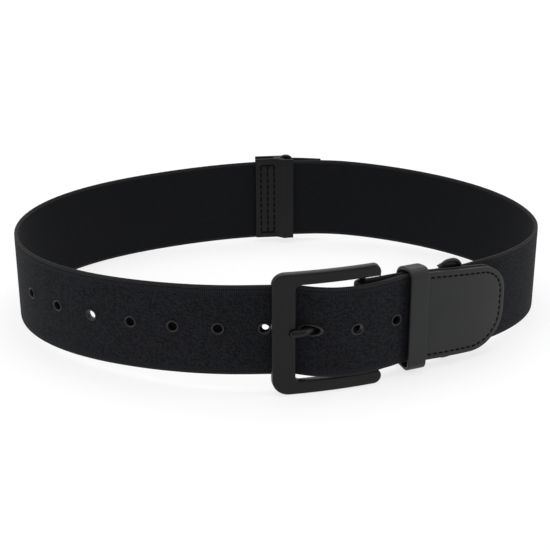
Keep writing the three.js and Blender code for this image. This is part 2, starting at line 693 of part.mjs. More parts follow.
function prong() {
  const bar = buckleSpot(HEEL_BAR, HEEL_BAR_OFFSET);
  const front = PRONG_FRONT_Y + bendAt(PRONG_TIP_X);
  const through = buckleSpot(PRONG_PLACE, mainOffset(PRONG_PLACE));
  const reach = 0.85 * PRONG_DIAMETER;
  // Along the bar's notch, down through the eyelet, then level to the heel bar
  const path = new THREE.CatmullRomCurve3([
    new THREE.Vector3(PRONG_TIP_X, front, 0),
    new THREE.Vector3(between(PRONG_TIP_X, through.x - reach, 0.6), front, 0),
    new THREE.Vector3(through.x - reach, through.y - 0.62 * reach, 0),
    new THREE.Vector3(through.x, through.y, 0),
    new THREE.Vector3(through.x + reach, between(through.y, bar.y, 0.75), 0),
    new THREE.Vector3(through.x + 2.2 * reach, bar.y, 0),
    new THREE.Vector3(bar.x - HEEL_BAR_DIAMETER / 2 - PRONG_RING_REACH, bar.y, 0),
  ]);
  const section = new THREE.Shape().absarc(0, 0, PRONG_RADIUS, 0, 2 * Math.PI, false);
  const rod = new THREE.ExtrudeGeometry(section, {
    steps: PRONG_STEPS,
    curveSegments: CORNER_STEPS,
    bevelEnabled: false,
    extrudePath: path,
  });
  const tip = new THREE.SphereGeometry(PRONG_RADIUS * PRONG_TIP_FIT, 2 * CORNER_STEPS, CORNER_STEPS);
  tip.translate(PRONG_TIP_X, front, 0);
  const inner = HEEL_BAR_DIAMETER / 2 + GAP;
  const outer = inner + PRONG_RING_WALL;
  const half = PRONG_RING_HEIGHT / 2;
  const profile = [
    new THREE.Vector2(inner, -half),
    new THREE.Vector2(outer, -half),
    new THREE.Vector2(outer, half),
    new THREE.Vector2(inner, half),
    new THREE.Vector2(inner, -half),
  ];
  const ring = new THREE.LatheGeometry(profile, ROD_SIDES).rotateX(Math.PI / 2).translate(bar.x, bar.y, 0);
  const bore = new THREE.CylinderGeometry(inner, inner, 2 * PRONG_DIAMETER, ROD_SIDES);
  bore.rotateX(Math.PI / 2).translate(bar.x, bar.y, 0);
  const body = cutBy(joined([rod, tip, ring]), [bore]);
  const height = BUCKLE_HEIGHT / 2 + EYELET_RISE;
  return seated("prong", body, PAINT_FINISH, BUCKLE_PLACE, BUCKLE_OFFSET, height);
}

// Keeper loop: a leather band round all the plies

function keeperLoop() {
  const outside = TAIL_OFFSET + KEEPER_ENTRY_LIFT + WEBBING_THICKNESS / 2 + TIP_SEAT + TIP_PLY + KEEPER_SLACK;
  const inside = BACK_PLY_OFFSET - WEBBING_THICKNESS / 2 - KEEPER_BACK_SLACK;
  const innerDepth = outside - inside;
  const depth = innerDepth + 2 * KEEPER_WALL;
  const outline = roundedOutline(depth, KEEPER_HEIGHT, KEEPER_CORNER, KEEPER_HEIGHT);
  const innerHeight = KEEPER_HEIGHT - 2 * KEEPER_WALL;
  const innerCorner = KEEPER_CORNER - KEEPER_WALL;
  const hole = roundedOutline(innerDepth, innerHeight, innerCorner, KEEPER_HEIGHT, new THREE.Path());
  outline.holes.push(new THREE.Path(hole.getPoints().reverse()));
  const band = new THREE.ExtrudeGeometry(outline, {
    depth: KEEPER_WIDTH - 2 * KEEPER_BEVEL,
    bevelThickness: KEEPER_BEVEL,
    bevelSize: KEEPER_BEVEL,
    bevelOffset: -KEEPER_BEVEL,
    bevelSegments: 1,
    curveSegments: 1,
  });
  band.translate(0, 0, KEEPER_BEVEL - KEEPER_WIDTH / 2);
  band.rotateX(Math.PI / 2).rotateZ(Math.PI / 2);
  const offset = (outside + inside) / 2;
  const height = (mainHeight(KEEPER_PLACE) + adjustHeight(KEEPER_PLACE)) / 2;
  return seated("keeper_loop", band, LEATHER_FINISH, KEEPER_PLACE, offset, height);
}

// Slide: a flat ring outside the adjusting strap with its cross bar behind the strap

function flatRing(length, height, thickness, band, corner, bevel) {
  const outline = roundedOutline(length, height, corner, height);
  const innerCorner = Math.min(corner - band, RING_INNER_CORNER_SHARE * band);
  const path = new THREE.Path();
  const hole = roundedOutline(length - 2 * band, height - 2 * band, innerCorner, height, path);
  outline.holes.push(new THREE.Path(hole.getPoints().reverse()));
  const ring = new THREE.ExtrudeGeometry(outline, {
    depth: thickness - 2 * bevel,
    bevelThickness: bevel,
    bevelSize: bevel,
    bevelOffset: -bevel,
    bevelSegments: 1,
    curveSegments: 1,
  });
  ring.translate(0, 0, bevel - thickness / 2);
  return ring.rotateX(Math.PI / 2);
}

function slideAdjuster() {
  const ring = flatRing(SLIDE_LENGTH, SLIDE_HEIGHT, SLIDE_THICKNESS, SLIDE_BAND, SLIDE_CORNER, SLIDE_BEVEL);
  const barY = SLIDE_THICKNESS / 2 + GAP + WEBBING_THICKNESS + GAP + SLIDE_BAR_THICKNESS / 2;
  const barHeight = SLIDE_HEIGHT - 2 * SLIDE_POST_INSET;
  const bar = new THREE.BoxGeometry(SLIDE_BAR_WIDTH, SLIDE_BAR_THICKNESS, barHeight);
  bar.translate(0, barY, 0);
  const room = (SLIDE_HEIGHT - ADJUST_WIDTH) / 2 - SLIDE_RISE - GAP;
  const postStart = SLIDE_POST_INSET - SLIDE_THICKNESS / 2;
  const postDepth = barY + SLIDE_BAR_THICKNESS / 2 - SLIDE_THICKNESS / 10 - postStart;
  const postHeight = room - SLIDE_POST_INSET;
  const posts = [-1, 1].map((end) => {
    const post = new THREE.BoxGeometry(SLIDE_BAR_WIDTH, postDepth, postHeight);
    const postMiddle = SLIDE_HEIGHT / 2 - SLIDE_POST_INSET - postHeight / 2;
    return post.translate(0, postStart + postDepth / 2, end * postMiddle);
  });
  const body = joined([ring, bar, ...posts]);
  const height = adjustHeight(SLIDE_PLACE) + SLIDE_RISE;
  const offset = SLIDE_OFFSET + SLIDE_THICKNESS / 2;
  return seated("slide_adjuster", body, RING_FINISH, SLIDE_PLACE, offset, height);
}

// Ring and tab at the back

function backRing() {
  const corner = RING_LENGTH / 2 - RING_CORNER_INSET;
  const ring = flatRing(RING_LENGTH, RING_HEIGHT, RING_THICKNESS, RING_BAND, corner, RING_BEVEL);
  return seated("back_ring", ring, RING_FINISH, RING_CENTRE, 0, BACK_HEIGHT + RING_RISE);
}

// Tab: two plies hold the strap's end, one wraps a bar of the ring, and a flap covers the ring
function backTab() {
  const end = TAB_LENGTH / 2;
  const bar = inSeat(JOIN, 0, RING_CENTRE + (RING_LENGTH - RING_BAND) / 2, 0);
  const boreRadius = RING_THICKNESS / 2 + RING_ROOM;
  const wrapRadius = boreRadius + TAB_PLY;
  const pocketInner = WEBBING_THICKNESS / 2 + TAB_POCKET_ROOM;
  const pocketOuter = WEBBING_THICKNESS / 2 + GAP;
  const pocketStart = end - TAB_POCKET;
  const flapInner = RING_FOLD_RADIUS + WEBBING_THICKNESS / 2 + RING_ROOM;
  const ramp = bar.x - TAB_FLAP_RAMP / 2;
  const outline = new THREE.Shape();
  outline.moveTo(end, pocketInner + TAB_PLY);
  outline.lineTo(ramp + TAB_FLAP_RAMP, pocketInner + TAB_PLY);
  outline.bezierCurveTo(
    ramp + TAB_FLAP_RAMP / 2, pocketInner + TAB_PLY,
    ramp + TAB_FLAP_RAMP / 2, flapInner + TAB_PLY,
    ramp, flapInner + TAB_PLY,
  );
  outline.lineTo(-end, flapInner + TAB_PLY);
  outline.lineTo(-end, flapInner);
  outline.lineTo(ramp, flapInner);
  outline.lineTo(bar.x - wrapRadius * Math.SQRT1_2, bar.y + wrapRadius * Math.SQRT1_2);
  outline.absarc(bar.x, bar.y, wrapRadius, 0.75 * Math.PI, 1.5 * Math.PI, false);
  outline.lineTo(end, -pocketOuter - TAB_PLY);
  outline.lineTo(end, -pocketOuter);
  outline.lineTo(pocketStart, -pocketOuter);
  outline.lineTo(pocketStart, pocketInner);
  outline.lineTo(end, pocketInner);
  outline.closePath();
  outline.holes.push(new THREE.Path().absarc(bar.x, bar.y, boreRadius, 0, 2 * Math.PI, true));
  const block = new THREE.ExtrudeGeometry(outline, {
    depth: TAB_HEIGHT,
    bevelEnabled: false,
    curveSegments: FOLD_STEPS,
  });
  block.translate(0, 0, -TAB_HEIGHT / 2);
  const grown = 2 * GAP;
  const room = flatRing(
    RING_LENGTH + grown, RING_HEIGHT + grown, RING_THICKNESS + grown,
    RING_BAND + grown, RING_LENGTH / 2, 0,
  );
  const ringAt = inSeat(JOIN, 0, RING_CENTRE, 0);
  room.rotateZ(loopAt(JOIN).tangent.angle() - loopAt(RING_CENTRE).tangent.angle());
  room.translate(ringAt.x, ringAt.y, RING_RISE - TAB_RISE);
  return seated("back_tab", cutBy(block, [room]), LEATHER_FINISH, JOIN, 0, BACK_HEIGHT + TAB_RISE);
}

const belt = new THREE.Group();
belt.add(
  mainStrap(),
  adjustStrap(),
  buckleFrame(),
  prong(),
  keeperLoop(),
  tipPly("tip_front", 1),
  tipPly("tip_back", -1),
  slideAdjuster(),
  backRing(),
  backTab(),
  ...EYELETS.map(eyeletRing),
);

// The belt's box is centred over the origin and its lowest point is on the surface
const bounds = new THREE.Box3().setFromObject(belt, true);
const centre = bounds.getCenter(new THREE.Vector3());
belt.position.set(-centre.x, -centre.y, -bounds.min.z);

export default belt;
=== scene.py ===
# Looks of the elastic stretch belt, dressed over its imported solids.
# Lengths are millimetres until a mesh is made. Places along the belt are measured round its
# loop from the front centre, positive to the right, and an offset is measured outwards.
import math

import bmesh
import bpy
import numpy as np
from mathutils import Matrix, Vector


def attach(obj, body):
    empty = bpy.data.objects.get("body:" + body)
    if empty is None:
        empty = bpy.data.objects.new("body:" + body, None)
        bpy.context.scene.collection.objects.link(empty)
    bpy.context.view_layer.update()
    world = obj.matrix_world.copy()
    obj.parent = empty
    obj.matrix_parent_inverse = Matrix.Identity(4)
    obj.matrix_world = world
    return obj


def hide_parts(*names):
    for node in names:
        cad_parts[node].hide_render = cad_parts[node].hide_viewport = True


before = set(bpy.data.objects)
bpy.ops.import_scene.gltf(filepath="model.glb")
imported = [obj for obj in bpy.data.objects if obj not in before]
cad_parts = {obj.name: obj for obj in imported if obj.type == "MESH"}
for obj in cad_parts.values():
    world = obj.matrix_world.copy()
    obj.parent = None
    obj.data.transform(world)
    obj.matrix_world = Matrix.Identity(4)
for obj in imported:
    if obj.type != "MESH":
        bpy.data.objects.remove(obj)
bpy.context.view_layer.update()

MM = 0.001
QUARTER = math.pi / 2
BELT_SHIFT = (-0.3093, 4.3434)

# Sizes of the solids
LOOP_WIDTH = 289
LOOP_DEPTH = 186
LOOP_TURN = math.radians(4.5)
LOOP_SQUARENESS = 0.0418
LOOP_FLATNESS = 0.0058
LOOP_PEAR_SHAPE = 0.0142
LOOP_PEAR_TURN = math.radians(27)
LOOP_SAMPLES = 2880

WEBBING_WIDTH = 50
WEBBING_THICKNESS = 2
ADJUST_WIDTH = 49
GAP = 0.3
LEFT_SIDE_CLEARANCE = 0.5
RIGHT_SIDE_CLEARANCE = 0.4
BACK_CLEARANCE = 2.8
ADJUST_BACK_RISE = 1.6

BUCKLE_START = -4.5
BUCKLE_LENGTH = 57.4
BUCKLE_HEIGHT = 67.2
BUCKLE_THICKNESS = 4
BUCKLE_OFFSET = 3.7
BUCKLE_BEND_RADIUS = 240
LEFT_BAR_WIDTH = 11.8
RAIL_WIDTH = 6.4
BUCKLE_CORNER = 6.5
RAIL_END_CORNER = 4
BUCKLE_LOWER_CORNER = 8.5
BUCKLE_LOWER_RAIL = 7.4
WINDOW_CORNER = 2.7
TOP_RAIL_TRIM = 2
HEEL_BAR_DIAMETER = 3.6
HEEL_BAR_INSET = 10.5
HEEL_BAR_OFFSET = 2.3
HEEL_LUG_DIAMETER = 5
HEEL_LUG_LENGTH = 0.9

PRONG_DIAMETER = 4.1
PRONG_TIP_INSET = 8.3
PRONG_NOTCH_DEPTH = 1.6
PRONG_RING_WALL = 1.5
PRONG_RING_HEIGHT = 4
PRONG_WINDOW_SHARE = 0.24
PRONG_SLOT = 5.3

EYELET_COUNT = 10
PRONG_EYELET = 8
EYELET_PITCH = 23.3
EYELET_RISE = 1.4
EYELET_BORE = 4.8
EYELET_RIM = 6.5
EYELET_HOLE = 5.7
EYELET_STRETCH = 1.85

TIP_END = 126
TIP_LENGTH = 56
TIP_HEIGHT = 50.4
TIP_PLY = 1.2
TIP_SEAT = 0.2
TIP_RIM = 1
TAIL_OFFSET = 2
TAIL_LIFT = 0.6
TAIL_RISE = 1.6

KEEPER_PLACE = 72.3
KEEPER_WIDTH = 10.2
KEEPER_HEIGHT = 58
KEEPER_WALL = 1.8
KEEPER_CORNER = 5
KEEPER_SLACK = 0.5
KEEPER_BACK_SLACK = 4
KEEPER_ENTRY_LIFT = 0.5
RETURN_LEAD = 4
SEWN_END = 82.5
SEWN_END_LIFT = 0.8

SLIDE_PLACE = 94
SLIDE_LENGTH = 14.5
SLIDE_HEIGHT = 57
SLIDE_THICKNESS = 1.8
SLIDE_BAND = 2
SLIDE_CORNER = 6.4
SLIDE_RISE = 1.6
SLIDE_BAR_WIDTH = 4
SLIDE_BAR_THICKNESS = 1.4
PAST_TIP = [(-10, 1.1), (20, 0.4)]
PAST_TIP_SETTLED = 70

JOIN_SHIFT = 1.5
RING_PLACE = -7
RING_LENGTH = 9
RING_HEIGHT = 55.6
RING_THICKNESS = 2
RING_BAND = 2
RING_RISE = 1.2
RING_ROOM = 0.5
BACK_HEM = 18
BACK_SETTLED = 34
HEM_LEAN = 0.35
TAB_LENGTH = 23
TAB_HEIGHT = 52
TAB_RISE = 1.6
TAB_PLY = 1.4
TAB_POCKET = 11
TAB_POCKET_ROOM = 0.7
TAB_FLAP_RAMP = 6


def unit(vectors):
    return vectors / np.linalg.norm(vectors, axis=-1, keepdims=True)


def walked(points):
    """Distance along the points up to each of them."""
    return np.concatenate([[0], np.cumsum(np.linalg.norm(np.diff(points, axis=0), axis=1))])


def circle(steps):
    """Cosine and sine of even steps round a full turn."""
    angles = [2 * math.pi * i / steps for i in range(steps)]
    return [(math.cos(a), math.sin(a)) for a in angles]


# The loop
def loop_radius(angle):
    mean = (LOOP_WIDTH + LOOP_DEPTH) / 4 / (1 + LOOP_SQUARENESS)
    oval = (LOOP_WIDTH - LOOP_DEPTH) / 4 - mean * LOOP_FLATNESS
    waves = (
        LOOP_SQUARENESS * np.cos(4 * angle)
        + LOOP_FLATNESS * np.cos(6 * angle)
        + LOOP_PEAR_SHAPE * np.cos(3 * (angle - LOOP_PEAR_TURN))
    )
    return mean * (1 + waves) + oval * np.cos(2 * (angle - LOOP_TURN))


ANGLES = 1.5 * math.pi + np.linspace(0, 2 * math.pi, LOOP_SAMPLES + 1)
LOOP = loop_radius(ANGLES)[:, None] * np.stack([np.cos(ANGLES), np.sin(ANGLES)], axis=1)
LENGTHS = walked(LOOP)
GIRTH = LENGTHS[-1]
BACK = LENGTHS[LOOP_SAMPLES // 2]
JOIN = BACK + JOIN_SHIFT
TANGENTS = np.roll(LOOP[:-1], -1, axis=0) - np.roll(LOOP[:-1], 1, axis=0)
TANGENTS = unit(np.vstack([TANGENTS, TANGENTS[:1]]))


def loop_at(place):
    """Points, tangents and polar angles of the loop at places along it."""
    along = np.mod(np.asarray(place, float), GIRTH)
    point = np.stack([np.interp(along, LENGTHS, LOOP[:, k]) for k in (0, 1)], axis=-1)
    tangent = np.stack([np.interp(along, LENGTHS, TANGENTS[:, k]) for k in (0, 1)], axis=-1)
    return point, unit(tangent), np.interp(along, LENGTHS, ANGLES)


def outwards(tangent):
    return np.stack([tangent[..., 1], -tangent[..., 0]], axis=-1)


def spot(place, offset):
    point, tangent, _ = loop_at(place)
    return point + outwards(tangent) * np.asarray(offset, float)[..., None]


def middle_height(place, side_height, back):
    front = BUCKLE_HEIGHT / 2
    sag = ((front + back) / 2 - side_height) / 2
    angle = loop_at(place)[2]
    return side_height + sag - (front - back) / 2 * np.sin(angle) - sag * np.cos(2 * angle)


BACK_HEIGHT = WEBBING_WIDTH / 2 + BACK_CLEARANCE


def main_height(place):
    t = np.clip((np.asarray(place, float) - BUCKLE_START) / (TIP_END - BUCKLE_START), 0, 1)
    rise = TAIL_RISE * t * t * (3 - 2 * t)
    return middle_height(place, WEBBING_WIDTH / 2 + LEFT_SIDE_CLEARANCE, BACK_HEIGHT) + rise


def adjust_height(place):
    return middle_height(place, ADJUST_WIDTH / 2 + RIGHT_SIDE_CLEARANCE, BACK_HEIGHT + ADJUST_BACK_RISE)


def offset_through(rows, place):
    """Smooth curve through rows of (place, offset), level before and after them."""
    if place <= rows[0][0]:
        return rows[0][1]
    last = len(rows) - 1
    if place >= rows[last][0]:
        return rows[last][1]
    i = next(k for k, row in enumerate(rows) if row[0] > place) - 1

    def slope(k):
        if k in (0, last):
            return 0
        return (rows[k + 1][1] - rows[k - 1][1]) / (rows[k + 1][0] - rows[k - 1][0])

    span = rows[i + 1][0] - rows[i][0]
    t = (place - rows[i][0]) / span
    rise = rows[i + 1][1] - rows[i][1]
    ease = t * t * (3 - 2 * t)
    lead = t * (1 - t) * (1 - t) * slope(i) * span
    trail = t * t * (1 - t) * slope(i + 1) * span
    return rows[i][1] + rise * ease + lead - trail


def between(start, end, share):
    return start + (end - start) * share


HEEL_BAR = BUCKLE_START + BUCKLE_LENGTH - HEEL_BAR_INSET
HEEL_FOLD_RADIUS = HEEL_BAR_DIAMETER / 2 + GAP + WEBBING_THICKNESS / 2
PLY_STEP = WEBBING_THICKNESS + GAP
RUN_RISE = HEEL_BAR_OFFSET + HEEL_FOLD_RADIUS
OVER_HEEL = RUN_RISE + PLY_STEP + 0.55
WINDOW_START = BUCKLE_START + LEFT_BAR_WIDTH
PRONG_PLACE = WINDOW_START + PRONG_WINDOW_SHARE * (HEEL_BAR - WINDOW_START)
KEEPER_START = KEEPER_PLACE - KEEPER_WIDTH / 2
TIP_START = TIP_END - TIP_LENGTH
TIP_BACK = TAIL_OFFSET - WEBBING_THICKNESS / 2 - TIP_SEAT - TIP_PLY
UNDER_TIP = TIP_BACK - GAP - WEBBING_THICKNESS / 2
BACK_PLY_OFFSET = UNDER_TIP - PLY_STEP
SLIDE_OFFSET = TIP_BACK - GAP - SLIDE_THICKNESS
UNDER_SLIDE = SLIDE_OFFSET - GAP - WEBBING_THICKNESS / 2
RING_CENTRE = JOIN + RING_PLACE
RING_BAR = RING_CENTRE - (RING_LENGTH - RING_BAND) / 2
RING_FOLD_RADIUS = RING_THICKNESS / 2 + RING_ROOM + WEBBING_THICKNESS / 2

MAIN_ROWS = [
    (BUCKLE_START - LEFT_BAR_WIDTH, 0),
    (WINDOW_START, 0.17 * OVER_HEEL),
    (between(WINDOW_START, HEEL_BAR, 0.29), 0.68 * OVER_HEEL),
    (between(WINDOW_START, HEEL_BAR, 0.6), 1.02 * OVER_HEEL),
    (HEEL_BAR, OVER_HEEL),
    (between(HEEL_BAR, KEEPER_START, 0.6), 0.62 * OVER_HEEL),
    (KEEPER_START, TAIL_OFFSET + KEEPER_ENTRY_LIFT),
    (KEEPER_START + KEEPER_WIDTH, TAIL_OFFSET),
    (TIP_END, TAIL_OFFSET + TAIL_LIFT),
]
RUNNING_ROWS = [
    (HEEL_BAR, RUN_RISE),
    (between(HEEL_BAR, KEEPER_START, 0.35), 0.72 * RUN_RISE),
    (between(HEEL_BAR, KEEPER_START, 0.7), 0.16 * RUN_RISE),
    (KEEPER_START, UNDER_TIP),
    (KEEPER_START + KEEPER_WIDTH, UNDER_TIP),
    (SLIDE_PLACE - SLIDE_LENGTH / 2, UNDER_SLIDE),
    (SLIDE_PLACE + SLIDE_LENGTH / 2, UNDER_SLIDE),
    *[(TIP_END + past, UNDER_SLIDE - inwards) for past, inwards in PAST_TIP],
    (TIP_END + PAST_TIP_SETTLED, 0),
]
BACK_ROWS = [
    (RING_BAR - BACK_SETTLED, 0),
    (RING_BAR - BACK_HEM, -HEM_LEAN * RING_FOLD_RADIUS),
    (RING_BAR, -RING_FOLD_RADIUS),
]
HEM_ROWS = [
    (RING_BAR - BACK_HEM, PLY_STEP + GAP - HEM_LEAN * RING_FOLD_RADIUS),
    (RING_BAR, RING_FOLD_RADIUS),
]
RETURN_ROWS = [
    (HEEL_BAR, HEEL_BAR_OFFSET - HEEL_FOLD_RADIUS),
    (KEEPER_START - RETURN_LEAD, BACK_PLY_OFFSET + KEEPER_ENTRY_LIFT),
    (KEEPER_START, BACK_PLY_OFFSET),
    (KEEPER_START + KEEPER_WIDTH, BACK_PLY_OFFSET),
    (SEWN_END, BACK_PLY_OFFSET - SEWN_END_LIFT),
]


def main_offsets(places):
    return np.array([offset_through(MAIN_ROWS, p) for p in np.atleast_1d(places)])


def main_spots(places):
    return spot(np.atleast_1d(places), main_offsets(places))


# The main strap as a table of length along the webbing against place
WALK = np.arange(BACK - GIRTH, TIP_END + 10, 0.1)
WALKED = walked(main_spots(WALK))


def webbing_length(place):
    return np.interp(place, WALK, WALKED)


def place_of(length):
    return np.interp(length, WALKED, WALK)


# Mesh helpers
def linked(name, data):
    """New object in the scene."""
    obj = bpy.data.objects.new(name, data)
    bpy.context.scene.collection.objects.link(obj)
    return obj


def plain_mesh(name, verts, faces, materials):
    mesh = bpy.data.meshes.new(name)
    mesh.from_pydata(np.asarray(verts, float).tolist(), [], faces)
    for material in materials:
        mesh.materials.append(material)
    return mesh


def make_object(name, verts, faces, materials, indices=None, uvs=None, angle=None):
    """Object from vertices in millimetres; indices give each face its material."""
    shifted = np.asarray(verts, float) + np.array([*BELT_SHIFT, 0])
    mesh = plain_mesh(name, shifted * MM, faces, materials)
    if indices is not None:
        mesh.polygons.foreach_set("material_index", indices)
    if uvs is not None:
        layer = mesh.uv_layers.new(name="weave")
        corner = np.zeros(len(mesh.loops), int)
        mesh.loops.foreach_get("vertex_index", corner)
        layer.data.foreach_set("uv", np.asarray(uvs, float)[corner].ravel())
    obj = linked(name, mesh)
    tidy_mesh(obj, angle)
    return obj


def make_local(name, verts, faces):
    """Plain object in a seat's own axes, in millimetres, for cutting."""
    obj = linked(name, plain_mesh(name, verts, faces, [PAINT]))
    tidy_mesh(obj)
    return obj


def tidy_mesh(obj, angle=None):
    """Faces point outwards and shade smoothly, apart from edges sharper than the angle."""
    bm = bmesh.new()
    bm.from_mesh(obj.data)
    bmesh.ops.recalc_face_normals(bm, faces=bm.faces)
    for face in bm.faces:
        face.smooth = True
    if angle is not None:
        for edge in bm.edges:
            if len(edge.link_faces) == 2 and edge.calc_face_angle(0) > angle:
                edge.smooth = False
    bm.to_mesh(obj.data)
    bm.free()


def apply_modifiers(obj):
    """Makes the object's modifiers part of its mesh."""
    graph = bpy.context.evaluated_depsgraph_get()
    mesh = bpy.data.meshes.new_from_object(obj.evaluated_get(graph))
    old = obj.data
    obj.modifiers.clear()
    obj.data = mesh
    bpy.data.meshes.remove(old)


def cut_away(obj, cutter):
    """Takes the cutter's volume out of the object, and the cutter out of the scene."""
    cut = obj.modifiers.new("cut", "BOOLEAN")
    cut.operation = "DIFFERENCE"
    cut.solver = "EXACT"
    cut.object = cutter
    apply_modifiers(obj)
    bpy.data.objects.remove(cutter)


def dress(obj, slot, *nodes):
    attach(obj, "root")
    if nodes:
        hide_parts(*nodes)


def grid_faces(rows, columns, close_rows=False, close_columns=True, caps=True):
    """Quads of a grid of rows by columns, with end caps where the columns close."""
    faces = []
    for i in range(rows if close_rows else rows - 1):
        below = ((i + 1) % rows) * columns
        for j in range(columns if close_columns else columns - 1):
            k = (j + 1) % columns
            faces.append((i * columns + j, i * columns + k, below + k, below + j))
    if caps and close_columns and not close_rows:
        faces.append(tuple(range(columns)))
        faces.append(tuple((rows - 1) * columns + j for j in range(columns)))
    return faces


def arc(centre, radius, start, end, steps):
    angles = [between(start, end, i / steps) for i in range(steps + 1)]
    return [(centre[0] + radius * math.cos(a), centre[1] + radius * math.sin(a)) for a in angles]


def line_points(a, b, shares):
    return [(between(a[0], b[0], share), between(a[1], b[1], share)) for share in shares]


def rounded_rectangle(width, height, radius, corner_steps=8, side_step=None):
    """Closed outline about the origin, anticlockwise from the right side's top."""
    x, y = width / 2 - radius, height / 2 - radius
    points = []
    for n, centre in enumerate([(x, y), (-x, y), (-x, -y), (x, -y)]):
        points += arc(centre, radius, n * QUARTER, (n + 1) * QUARTER, corner_steps)
    if side_step is None:
        return points
    split = []
    for n, a in enumerate(points):
        b = points[(n + 1) % len(points)]
        pieces = max(1, round(math.dist(a, b) / side_step))
        split += line_points(a, b, [k / pieces for k in range(pieces)])
    return split


class Seat:
    """Place of a piece set square to the loop: X along the belt, Y inwards, Z up."""

    def __init__(self, place, offset, height):
        self.at = spot(place, offset)
        self.tangent = loop_at(place)[1]
        self.height = height

    def world(self, points):
        points = np.asarray(points, float)
        out = outwards(self.tangent)
        flat = self.at + points[:, :1] * self.tangent - points[:, 1:2] * out
        return np.column_stack([flat, points[:, 2] + self.height])

    def local(self, place, offset):
        away = spot(place, offset) - self.at
        return np.array([away @ self.tangent, -(away @ outwards(self.tangent))])


def merged(parts):
    """One list of vertices and faces from several."""
    verts, faces = [], []
    for part_verts, part_faces in parts:
        start = len(verts)
        verts.extend(np.asarray(part_verts).tolist())
        faces.extend(tuple(start + i for i in face) for face in part_faces)
    return np.array(verts), faces


# Materials
class Nodes:
    """Small builder of node materials."""

    def __init__(self, name):
        self.material = bpy.data.materials.new(name)
        self.material.use_nodes = True
        self.tree = self.material.node_tree
        self.shader = self.tree.nodes["Principled BSDF"]

    def add(self, kind, **settings):
        node = self.tree.nodes.new(kind)
        for key, value in settings.items():
            setattr(node, key, value)
        return node

    def link(self, source, target):
        if isinstance(source, bpy.types.NodeSocket):
            self.tree.links.new(source, target)
        else:
            target.default_value = source
        return target

    def math(self, operation, a, b=None, c=None):
        node = self.add("ShaderNodeMath", operation=operation)
        for socket, value in zip(node.inputs, (a, b, c)):
            if value is not None:
                self.link(value, socket)
        return node.outputs[0]

    def ramp(self, value, stops):
        node = self.add("ShaderNodeValToRGB")
        while len(node.color_ramp.elements) < len(stops):
            node.color_ramp.elements.new(0.5)
        for element, (position, colour) in zip(node.color_ramp.elements, stops):
            element.position = position
            element.color = (*colour, 1)
        self.link(value, node.inputs[0])
        return node.outputs[0]

    def mix(self, share, a, b):
        node = self.add("ShaderNodeMix", data_type="RGBA")
        self.link(share, node.inputs[0])
        for value, socket in ((a, node.inputs[6]), (b, node.inputs[7])):
            self.link((*value, 1) if isinstance(value, tuple) else value, socket)
        return node.outputs[2]

    def noise(self, vector, scale, detail=3.0, roughness=0.55):
        node = self.add("ShaderNodeTexNoise")
        self.link(vector, node.inputs["Vector"])
        node.inputs["Scale"].default_value = scale
        node.inputs["Detail"].default_value = detail
        node.inputs["Roughness"].default_value = roughness
        return node.outputs["Fac"]

    def scaled(self, vector, scale):
        node = self.add("ShaderNodeMapping")
        self.link(vector, node.inputs["Vector"])
        node.inputs["Scale"].default_value = scale
        return node.outputs[0]

    def object_point(self):
        return self.add("ShaderNodeTexCoord").outputs["Object"]

    def bump(self, height, distance, strength):
        node = self.add("ShaderNodeBump")
        node.inputs["Strength"].default_value = strength
        node.inputs["Distance"].default_value = distance
        self.link(height, node.inputs["Height"])
        return node.outputs[0]

    def pair(self, x, y):
        """Vector of two values."""
        node = self.add("ShaderNodeCombineXYZ")
        self.link(x, node.inputs[0])
        self.link(y, node.inputs[1])
        return node.outputs[0]

    def finish(self, colour, roughness, normal, **fixed):
        self.link(colour, self.shader.inputs["Base Color"])
        self.link(roughness, self.shader.inputs["Roughness"])
        self.link(normal, self.shader.inputs["Normal"])
        for name, value in fixed.items():
            self.shader.inputs[name.replace("_", " ")].default_value = value
        return self.material


WEAVE_UNIT = 10
TWILL_PITCH = 1.15
TWILL_COLUMN = 5.5
EDGE_RIB_PITCH = 1.06
KNIT_PITCH = 0.8
KNIT_ROW = 0.7
RIB_ZONE = (21.0, 23.0)


def weave_axes(n):
    """Millimetres along the webbing and from its middle line."""
    uv = n.add("ShaderNodeUVMap", uv_map="weave").outputs[0]
    split = n.add("ShaderNodeSeparateXYZ")
    n.link(uv, split.inputs[0])
    along = n.math("MULTIPLY", split.outputs[0], WEAVE_UNIT)
    up = n.math("MULTIPLY", split.outputs[1], WEAVE_UNIT)
    return uv, along, up


def wave(n, value, pitch):
    turned = n.math("SINE", n.math("MULTIPLY", value, 2 * math.pi / pitch))
    return n.math("MULTIPLY_ADD", turned, 0.5, 0.5)


